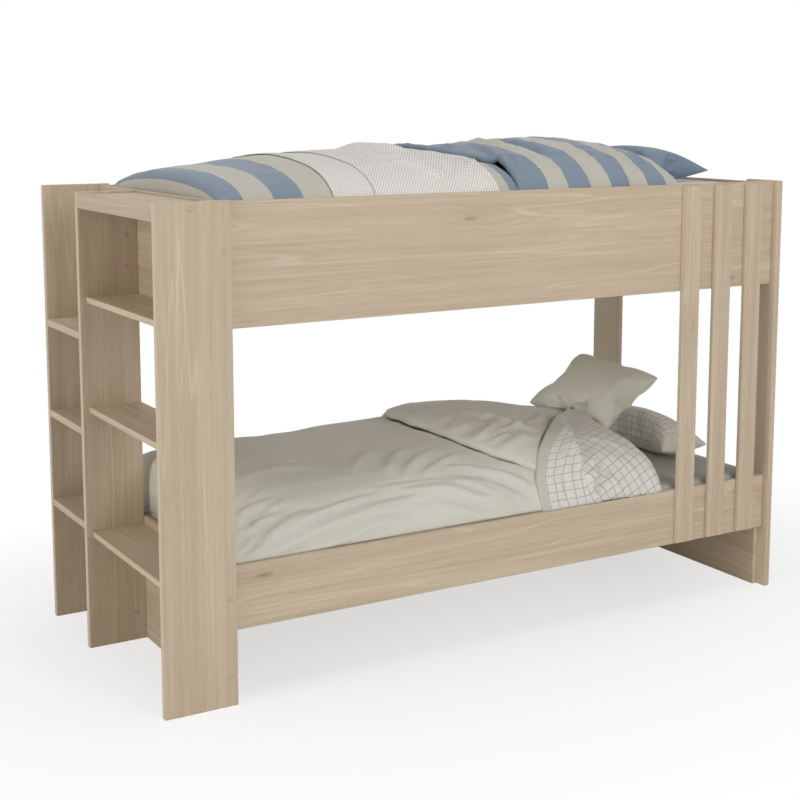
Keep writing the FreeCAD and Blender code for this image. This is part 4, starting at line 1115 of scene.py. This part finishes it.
FLAP_LAPS = [
    ([(1640, 400), (1568, 300), (1525, 227), (1506, 180), (1494, 141), (1482, 86), (1474, 62), (1468, 40)],
     30, 44, 30),
    ([(1566, 132), (1536, 92), (1508, 56), (1488, 20)], 18, 18, 18),
]
LOWER_NOISE = [(170, 4.0, 31), (70, 1.2, 32)]

pieces_lower = [
    body("lower_duvet_body", "sage", LOWER_BODY_END, LOWER, lower_body_rise, LOWER_BODY_FOLDS, LOWER_NOISE,
         covered(LOWER_FOOT_EDGE, 10, 24)),
    layer("lower_duvet_turned", "sage", LOWER_FOOT_EDGE, LOWER_HEAD_EDGE, LOWER, lower_turn_rise, 26,
          LOWER_TURN_FOLDS, LOWER_NOISE + [(55, 1.6, 42)], inset=-1.5, lift=1,
          press=covered(FLAP_FOOT_EDGE, 8, 24)),
    layer("lower_duvet_flap", "gridded", FLAP_FOOT_EDGE, FLAP_HEAD_EDGE, LOWER, lower_flap_rise, 18,
          FLAP_FOLDS, LOWER_NOISE + [(55, 1.6, 42)], inset=-4, lift=3,
          across=np.concatenate(FLAP_STEPS) / GIRTH, from_edge=True, laps=FLAP_LAPS, cell=6.5),
]
turn_pattern(pieces_lower[2], FLAP_FOLD)
for made in pieces_lower:
    stuffed("lower_duvet")


THROW_FOLDS = [
    ([(1034, 96), (1082, 159), (1130, 196)], 11, 9, 0.5),
    ([(985, 60), (1040, 150), (1085, 230)], 11, 8, 0.5),
    ([(822, 247), (890, 185), (930, 106), (978, 55)], 13, 8, 0.5),
    ([(800, 330), (880, 270), (960, 190)], 16, 6, 0.4),
    ([(868, 660), (918, 540), (950, 430), (1000, 330)], 26, 12, 0.4),
    ([(1050, 640), (1085, 520), (1096, 400)], 18, 8, 0.4),
    ([(905, 40), (940, 100), (955, 150)], 10, 6, 0.5),
    ([(700, 150), (780, 200), (860, 210)], 18, 4, 0.4),
]


# the throw's foot edge, the bend at its head side, the edge of the half laid back, and its thickness
THROW_FOOT, THROW_BEND, THROW_TOP_EDGE = 556.0, 1122.0, 690.0
THROW_THICK = 0.0022


def throw():
    """One sheet: an under layer, a fold at its head side, and an upper layer laid back over it."""
    steps = np.arange(THROW_FOOT, THROW_BEND, CELL)
    back = np.append(np.arange(THROW_BEND - 6, THROW_TOP_EDGE, -CELL), THROW_TOP_EDGE)
    bend = np.radians(np.linspace(-90, 90, 7))
    x = np.concatenate([steps, THROW_BEND + 4 * np.cos(bend), back])
    up = np.concatenate([0 * steps + 2.5, 5.5 + 3 * np.sin(bend), 0 * back + 8.5])
    X, S = np.meshgrid(x, np.linspace(0, 1, int(GIRTH / CELL)), indexing="ij")
    flat = np.stack([X, S * GIRTH], axis=-1)
    plain = np.linspace(THROW_FOOT, THROW_BEND, len(x))[:, None] + 0 * S
    n = normals_of(laid(plain, S, UPPER, upper_body_rise(X, S)))
    pressed = covered(UPPER_FOOT_EDGE, PRESS_START, 1.0)(X, S)
    folds = np.maximum(relief(flat, THROW_FOLDS, ()), 0)
    height = relief(flat, (), UPPER_NOISE) + folds * (1 - pressed) - UPPER_PRESS * pressed
    points = laid(X, S, UPPER, upper_body_rise(X, S))
    points += n * (up[:, None] + height * np.clip(to_hem(S) / HEM_FADE, 0, 1))[..., None]
    points[..., 2] = np.maximum(points[..., 2], UPPER.base + 0.6)
    length = running(np.hypot(np.diff(x), np.diff(up)))
    uv = np.stack(np.broadcast_arrays(length[:, None], S * GIRTH), axis=-1) * MM
    made = piece("throw_folded", to_scene(points), grid_faces(*X.shape), "throw", uv.reshape(-1, 2))
    thicken(made, THROW_THICK, 1.0)
    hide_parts("throw")


throw()


# Pillows: a flat slip of two faces and one seam, blown up as cloth, then set to its size and laid in place

BLOW_PRESSURE = 4.0
SLIP_CELL, SLIP_PUFF = 8, 0.16


def blow_up(made, stiffness, bending, steps):
    """Fill a closed slip by cloth simulation and return where its points end."""
    stuffing = made.modifiers.new("stuffing", "CLOTH")
    settings = stuffing.settings
    settings.quality = 6
    settings.mass = 0.3
    settings.tension_stiffness = settings.compression_stiffness = stiffness
    settings.shear_stiffness = stiffness / 2
    settings.bending_stiffness = bending
    settings.use_pressure = True
    settings.uniform_pressure_force = BLOW_PRESSURE
    settings.effector_weights.gravity = 0
    stuffing.collision_settings.use_collision = False
    stuffing.point_cache.frame_start = 1
    stuffing.point_cache.frame_end = steps
    for step in range(1, steps + 1):
        bpy.context.scene.frame_set(step)
    settled = bpy.data.meshes.new_from_object(made.evaluated_get(bpy.context.evaluated_depsgraph_get()))
    places = places_of(settled)
    made.modifiers.clear()
    bpy.context.scene.frame_set(1)
    bpy.data.meshes.remove(settled)
    return places


def pillow(name, node, finish, size, place, turn, lower_share=0.5, rest=None, fabric=(6, 0.03, 22),
           square=0.0):
    """A stuffed pillow or cushion, its size, place and turn in millimetres and degrees."""
    length, width, height = size
    lines = [np.linspace(-1, 1, int(side / SLIP_CELL)) for side in (length, width)]
    A, C = np.meshgrid(*lines, indexing="ij")
    puff = SLIP_PUFF * height * (1 - A ** 2) * (1 - C ** 2)
    flat = np.stack([C * width / 2, A * length / 2], axis=-1)
    top = np.concatenate([flat, puff[..., None]], axis=-1)
    made = closed(name, top, top * np.array([1, 1, -1]), flat, finish)
    local = from_scene(blow_up(made, *fabric))
    local -= (local.max(axis=0) + local.min(axis=0)) / 2
    local *= np.array([width, length, height]) / np.ptp(local, axis=0)
    a, b = 2 * local[:, 0] / width, 2 * local[:, 1] / length
    local[:, 0] *= 1 + square * (1 - b * b)
    local[:, 1] *= 1 + square * (1 - a * a)
    local[:, 2] *= 2 * np.where(local[:, 2] < 0, lower_share, 1 - lower_share)
    about = [Matrix.Rotation(math.radians(angle), 3, axis) for angle, axis in zip(turn, "ZYX")]
    local = local @ np.array(about[0] @ about[1] @ about[2]).T + np.array(place)
    if rest is not None:
        local[:, 2] = np.maximum(local[:, 2], rest(local))
    made.data.vertices.foreach_set("co", to_scene(local).ravel())
    made.data.update()
    smooth = made.modifiers.new("smooth", "SUBSURF")
    smooth.levels = smooth.render_levels = 1
    stuffed(node)


# the upper mattress stands up at its head end, where no cover presses it: over these places, this high
SWELL_START, SWELL_FADE = 1905, 60
SWELL_STOP, SWELL_CUT = 2208, 30
SWELL_REACH, SWELL_HIGH = 446, 14


def swell(points):
    """How far the upper mattress stands up at its head end."""
    x, y = points[:, 0], points[:, 1]
    along = np.clip((x - SWELL_START) / SWELL_FADE, 0, 1) * np.clip((SWELL_STOP - x) / SWELL_CUT, 0, 1)
    return SWELL_HIGH * along * (1 - np.clip(np.abs(y - BED_MIDDLE) / SWELL_REACH, 0, 1) ** 8)


pillow("head_pillow_stuffed", "head_pillow", "blue",
       (528, 290, 130), (1996, 505, 1447), (3, 0, 0),
       lower_share=0.36, rest=lambda points: 1397 + swell(points))
pillow("grid_pillow_stuffed", "grid_pillow", "grid_pillow",
       (458, 225, 150), (2095, 503, 456), (0, 0, 0),
       lower_share=0.31, rest=lambda points: 410.2, fabric=(8, 0.05, 24), square=0.07)
pillow("cushion_stuffed", "cushion", "cushion",
       (334, 346, 138), (1887, 541, 642), (-72, 8, 26),
       fabric=(15, 0.6, 21), square=0.22)


# Mattresses and fitted sheets

def rounded_ring(half_x, half_y, radius, steps=7, cell=45.0):
    """Points round a rectangle with rounded corners, counter-clockwise."""
    ring = []
    for quarter, (sx, sy) in enumerate(((1, 1), (-1, 1), (-1, -1), (1, -1))):
        for step in range(steps):
            angle = math.pi / 2 * (quarter + step / (steps - 1))
            ring.append((sx * (half_x - radius) + radius * math.cos(angle),
                         sy * (half_y - radius) + radius * math.sin(angle)))
    full = []
    for a, b in zip(ring, ring[1:] + ring[:1]):
        count = max(1, int(round(math.hypot(b[0] - a[0], b[1] - a[1]) / cell)))
        full += [(a[0] + (b[0] - a[0]) * k / count, a[1] + (b[1] - a[1]) * k / count) for k in range(count)]
    return np.array(full)


def ring_stack(name, rings, finish, close_bottom):
    """A skin over rings that run from the middle of the top outwards and down."""
    count = len(rings[0])
    vertices = [rings[0].mean(axis=0)] + [v for ring in rings for v in ring]
    faces = [(0, 1 + k, 1 + (k + 1) % count) for k in range(count)]
    for level in range(len(rings) - 1):
        faces += band(1 + level * count, 1 + (level + 1) * count, count)
    if close_bottom:
        last = 1 + (len(rings) - 1) * count
        faces += [(len(vertices), last + (k + 1) % count, last + k) for k in range(count)]
        vertices.append(rings[-1].mean(axis=0))
    vertices = np.array(vertices)
    return piece(name, to_scene(vertices), faces, finish, vertices[:, :2] * MM)


MATTRESS_CENTRE = np.array([1210.0, BED_MIDDLE])
MATTRESS_HEIGHT = 149.0
SHEET_THICK = 0.0006

# half lengths and widths of the mattress and its sheet, and the radii of their edges and corners
PAD_REACH, SHEET_REACH = (997.0, 447.0), (1000.0, 449.6)
PAD_EDGE, STRETCHED_EDGE, CORNER_RADIUS = 16, 20, 34
TOP_RINGS, EDGE_RINGS = 40, 6


def skin(reach, bottom, top, edge, lift):
    """Rings round a mattress from the middle of its top, over a rounded edge and down its sides."""
    flat = [(rounded_ring(reach[0] - edge, reach[1] - edge, CORNER_RADIUS) * share, top)
            for share in np.linspace(0.08, 1, TOP_RINGS)]
    for angle in np.linspace(0, math.pi / 2, EDGE_RINGS)[1:]:
        grow = edge * (1 - math.sin(angle))
        ring = rounded_ring(reach[0] - grow, reach[1] - grow, CORNER_RADIUS + edge * math.sin(angle))
        flat.append((ring, top - edge * (1 - math.cos(angle))))
    side = rounded_ring(*reach, CORNER_RADIUS + edge)
    flat += [(side, z) for z in np.linspace(top - edge, bottom, EDGE_RINGS)[1:]]
    rings = [np.column_stack([ring + MATTRESS_CENTRE, np.full(len(ring), z)]) for ring, z in flat]
    for ring in rings:
        ring[:, 2] += lift(ring) * (ring[:, 2] > top - edge)
    return rings


def no_lift(points):
    return 0.0


def bedding(level, base, tint, lift):
    """A mattress and the fitted sheet stretched over it, centred between the rails."""
    low, high = base + 0.5, base + MATTRESS_HEIGHT
    rings = skin(PAD_REACH, low + 2, high, PAD_EDGE, lift)
    pad = ring_stack(f"{level}_mattress_pad", rings, "ticking", True)
    stuffed(f"{level}_mattress")
    rings = skin(SHEET_REACH, low + 6, high + 1.6, STRETCHED_EDGE, lift)
    sheet = ring_stack(f"{level}_fitted_sheet_stretched", rings, tint, False)
    thicken(sheet, SHEET_THICK)
    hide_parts(f"{level}_fitted_sheet")


bedding("upper", 1243.7, "white_sheet", swell)
bedding("lower", 256.7, "grey_sheet", no_lift)


# Small round fittings

def solids_of(node):
    """The box of each separate solid in a node, in millimetres from foot, front and floor."""
    mesh = bmesh.new()
    mesh.from_mesh(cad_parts[node].data)
    bmesh.ops.remove_doubles(mesh, verts=mesh.verts, dist=0.00002)
    left, boxes = set(mesh.verts), []
    while left:
        group, fresh = set(), {left.pop()}
        while fresh:
            group |= fresh
            fresh = {e.other_vert(v) for v in fresh for e in v.link_edges} - group
        left -= group
        points = from_scene([v.co for v in group])
        boxes.append((points.min(axis=0).round(2), points.max(axis=0).round(2)))
    mesh.free()
    return sorted(boxes, key=lambda box: tuple(box[0]))


# the length and width of the arms of the cross in a head, by its depth
CROSS_LONG, CROSS_WIDE = 3.4, 0.5


def turned(name, places, profile, finish, cross=0.0, segments=28):
    """Round heads in one piece: a (radius, height) profile turned about each (centre, outward) place."""
    vertices, faces = [], []
    for centre, outward in places:
        rotate = np.array(Vector(outward).to_track_quat("Z", "Y").to_matrix())
        start = len(vertices)
        for radius, height in profile:
            for k in range(segments):
                angle = 2 * math.pi * k / segments
                spot = np.array([radius * math.cos(angle), radius * math.sin(angle), height])
                arm = min(abs(spot[0]), abs(spot[1]))
                if cross and radius < CROSS_LONG * cross and arm < CROSS_WIDE * cross and height > 0:
                    spot[2] -= cross
                vertices.append(rotate @ spot + centre)
        last = start + (len(profile) - 1) * segments
        for low in range(start, last, segments):
            faces += band(low, low + segments, segments)
        faces.append(tuple(range(start, start + segments)))
        faces.append(tuple(range(last, last + segments))[::-1])
    made = piece(name, to_scene(np.array(vertices)), faces, finish)
    return made


CAP_PROFILE = [(0.6, 0.5), (5.6, 0.5), (6.3, 0.2), (6.6, -0.5), (7.4, -0.5), (7.7, 0.3), (8.3, 0.4),
               (8.8, 0.05), (8.8, -0.9)]
CAM_PROFILE = [(0.4, 0.3), (1.4, 0.3), (2.4, 0.3), (3.4, 0.3), (4.4, 0.3), (6.6, 0.3), (7.0, 0.05),
               (7.4, 0.3), (7.9, 0.25), (8.0, -0.8)]
SCREW_PROFILE = [(0.3, 0.3), (0.9, 0.3), (1.6, 0.3), (2.3, 0.3), (3.4, 0.25), (4.0, 0.02), (4.0, -0.3)]

# caps nearer to the front than this face forwards, and the screws' shares of a ledger's length
CAPS_TURN = 300
SCREW_SHARES = (0.06, 0.28, 0.5, 0.72, 0.94)

caps = []
for low, high in solids_of("bolt_caps"):
    out = -1 if low[1] < CAPS_TURN else 1
    middle = (low + high) / 2
    middle[1] = low[1] if out < 0 else high[1]
    caps.append((middle, (0, out, 0)))
cap_heads = turned("bolt_caps_round", caps, CAP_PROFILE, "caps")
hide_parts("bolt_caps")

cams = []
for low, high in solids_of("cam_locks"):
    thin = int(np.argmin(high - low))
    middle = (low + high) / 2
    middle[thin] = low[thin]
    cams.append((middle, -np.eye(3)[thin]))
cam_heads = turned("cam_locks_round", cams, CAM_PROFILE, "casting", cross=1.3, segments=48)
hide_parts("cam_locks")

screws = []
for node in LEDGERS:
    low, high = from_scene(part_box(node))
    out = 1 if node.startswith("front") else -1
    face = high[1] if out > 0 else low[1]
    for share in SCREW_SHARES:
        spot = np.array([low[0] + (high[0] - low[0]) * share, face, (low[2] + high[2]) / 2])
        screws.append((spot, (0, out, 0)))
turned("ledger_screw_heads", screws, SCREW_PROFILE, "zinc", cross=0.8, segments=24)
